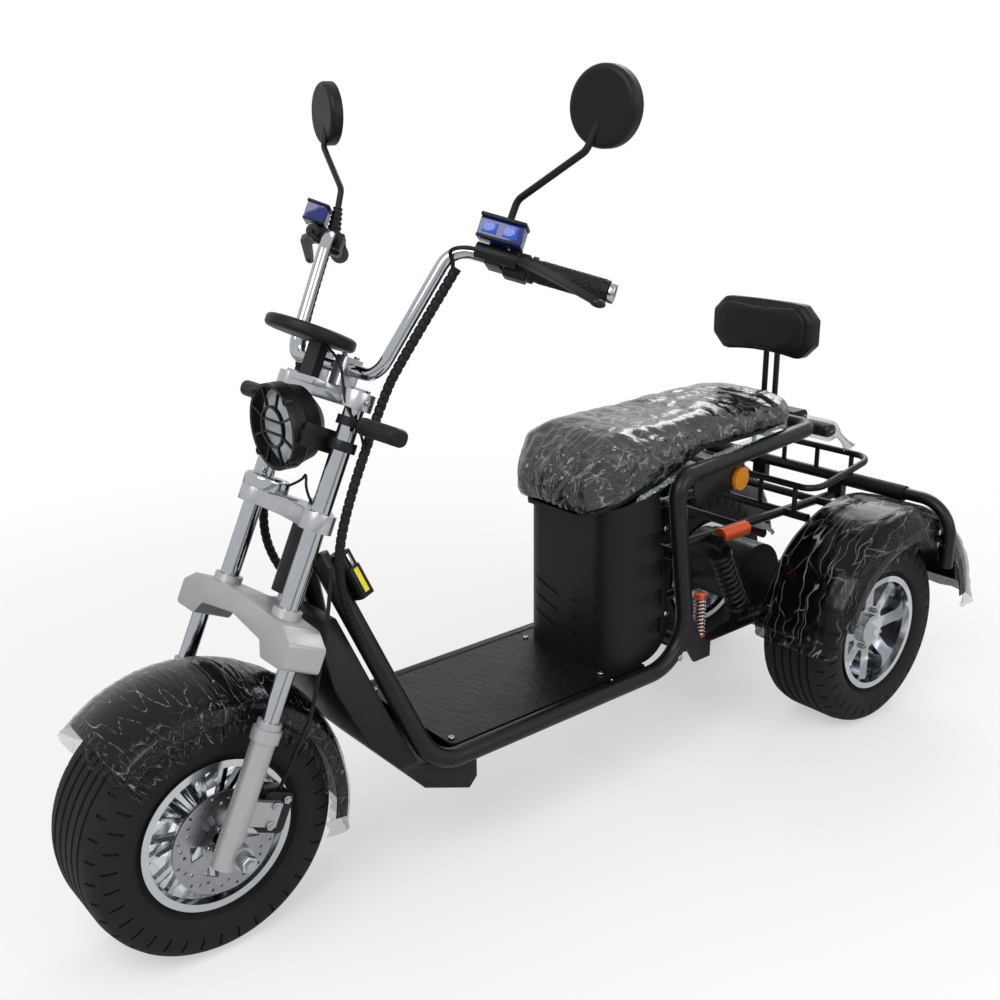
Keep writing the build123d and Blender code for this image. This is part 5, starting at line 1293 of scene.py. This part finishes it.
def leverEnds(settings):
    for vertex in rounded["brake_masters"].data.vertices:
        side = 1 if vertex.co.y > 0 else -1
        axes = sideAxes(side)
        along = (vertex.co - onGrip(0, 0, settings["start"], side)).dot(axes[2]) * 1000
        vertex.co += axes[1] * settings["droop"] * max(along / (barLong - settings["start"]), 0.0) ** 1.2
    ends = []
    for side in (1, -1):
        deselectAll()
        bpy.ops.mesh.primitive_uv_sphere_add(segments=24, ring_count=14, radius=1)
        end = bpy.context.object
        centre = onGrip(settings["ahead"], settings["down"], settings["along"], side)
        stretchTo(end, centre, sideAxes(side), settings["size"])
        ends.append(end)
    settle(joinPieces("lever_ends", ends), "steering", "black_paint", angle=60)


makeGrips(gripSettings)
tankTrim(tankSettings)
ribBoots(bootSettings)
leverEnds(leverSettings)
print("bar ends dressed")

# thin leads: one from the display, one from the horn, and a hose from each brake master into the harness
leadSettings = {
    "display_lead": (0.0026, (onFork(108, 34, 852), onFork(92, 66, 838), onFork(92, 96, 800),
                              onFork(84, 118, 760), onFork(52, 134, 735), onFork(38, 141, 700))),
    "horn_lead": (0.0024, (onFork(92, 20, 598), onFork(78, 50, 620), onFork(88, 70, 640), onFork(86, 84, 606),
                           onFork(60, 88, 584))),
    "master_hose": (0.0034, (onGrip(36, 0, barLong - 218), onGrip(38, 2, barLong - 240),
                             onGrip(34, 14, barLong - 262), onFork(26, 198, 1040), onFork(25, 197, 1012))),
}
for name in ("display_lead", "horn_lead"):
    radius, points = leadSettings[name]
    runLead(name, points, radius)
for side, name in ((1, "left"), (-1, "right")):
    radius, points = leadSettings["master_hose"]
    runLead("master_hose_" + name, leftRight(points, side), radius)

# tail lens, sleeves on the hoop, and the key with its yellow fob
rearSettings = {"lens": (-820.6, 0, 684), "lensSize": (3.2, 84, 21), "hoop": (-877, 537),
                "sleeve": (125, 305), "sleeveRadius": 0.0182}
# red acrylic: deep colour with prisms moulded behind
redLens = makeSurface("red_acrylic", "#a3141a", "#7d0c12", 0.12, 0.03, patchMm=8, grainMm=5.0, grainLift=0.8,
                      cells=True)
# yellow ABS, moulded: a clear bright patch on the black key
yellowFob = makeSurface("yellow_abs", "#f2e21a", "#e2d012", 0.34, 0.05, patchMm=20)
# each key piece: how far out of the box's face and how far up, in metres, then sizes and rounding in mm
keySettings = {"up": Vector((0.3014, -0.3057, 0.9031)), "ahead": Vector((0.9464, 0.2117, -0.2441)),
               "face": 0.022, "pieces": (
                   ("key_fob", 0.0022, -0.014, (27, 4.4, 62), 2.0, "black_plastic", None),
                   ("key_strip", 0.0048, -0.012, (10.5, 2.4, 48), 1.1, "black_plastic", yellowFob),
                   ("key_shaft", 0.0022, 0.029, (6.5, 3.0, 25), 0.8, "chrome", None))}
tailLens = boxAt("tail_lens", mm(*rearSettings["lens"]), plainAxes, rearSettings["lensSize"], 1.2)
settle(tailLens, "frame", "lens", redLens, angle=40)
sleeves = []
for side in (1, -1):
    ends = [mm(rearSettings["hoop"][0], side * y, rearSettings["hoop"][1]) for y in rearSettings["sleeve"]]
    sleeves.append(tubeAlong("sleeve", ends, lambda u, v: rearSettings["sleeveRadius"], 32, 12))
settle(joinPieces("hoop_sleeves", sleeves), "frame", "rubber", angle=40)


def hangKey(settings):
    corners = nodes["key_box"].data.vertices
    centre = sum((vertex.co for vertex in corners), Vector()) / len(corners)
    up, ahead = settings["up"], settings["ahead"]
    outward = up.cross(ahead)
    for name, beyond, rise, sizes, bevel, slotName, material in settings["pieces"]:
        place = centre + outward * (settings["face"] + beyond) + up * rise
        piece = boxAt(name, place, [ahead, outward, up], sizes, bevel)
        settle(piece, "frame", slotName, material, angle=40)


hangKey(keySettings)
print("key hung")

# film bags on the rear signals, and what each film was cut from
bagSettings = {"around": 60, "steps": 120, "radius": 0.0262, "neck": 0.0195, "flare": 0.006, "route": (
    (-792, 62, 674), (-792, 110, 674), (-792, 150, 674), (-794, 172, 664), (-796, 196, 640))}


def signalBag(settings, side, name):
    line = smoothLine(leftRight([mm(*point) for point in settings["route"]], side))

    def radiusAt(u, v):
        body = settings["radius"] - settings["neck"] * ramp(v, 0.52, 0.74)
        body += settings["flare"] * ramp(v, 0.82, 1.0)
        folds = noise.noise(Vector((cos(2 * pi * u) * 4, sin(2 * pi * u) * 4, v * 5 + side)))
        return body * (1 + (0.06 + 0.4 * ramp(v, 0.5, 0.75)) * folds)

    bag = tubeAlong(name, line, radiusAt, settings["around"], settings["steps"])
    cutAway(bag, lambda face: len(face.vertices) > 4)
    markCreased(bag, lambda p: 0.35 + 0.65 * ramp(abs(p.y), 0.138, 0.16))
    return settle(bag, "frame", "lens", films["twisted"], angle=75)


def declareFilm(film, wide):
    area = filmArea(film)
    long = area / (0.85 * wide)  # a rectangle with a little to spare round the film
    print(film.name, round(area, 3), round(wide, 2), round(long, 2))


leftBag = signalBag(bagSettings, 1, "signal_film_left")
rightBag = signalBag(bagSettings, -1, "signal_film_right")
declareFilm(seatCover, 0.62)
declareFilm(frontCover, 0.36)
for film in (leftCover, rightCover):
    declareFilm(film, 0.40)
for film in (leftBag, rightBag):
    declareFilm(film, 0.16)
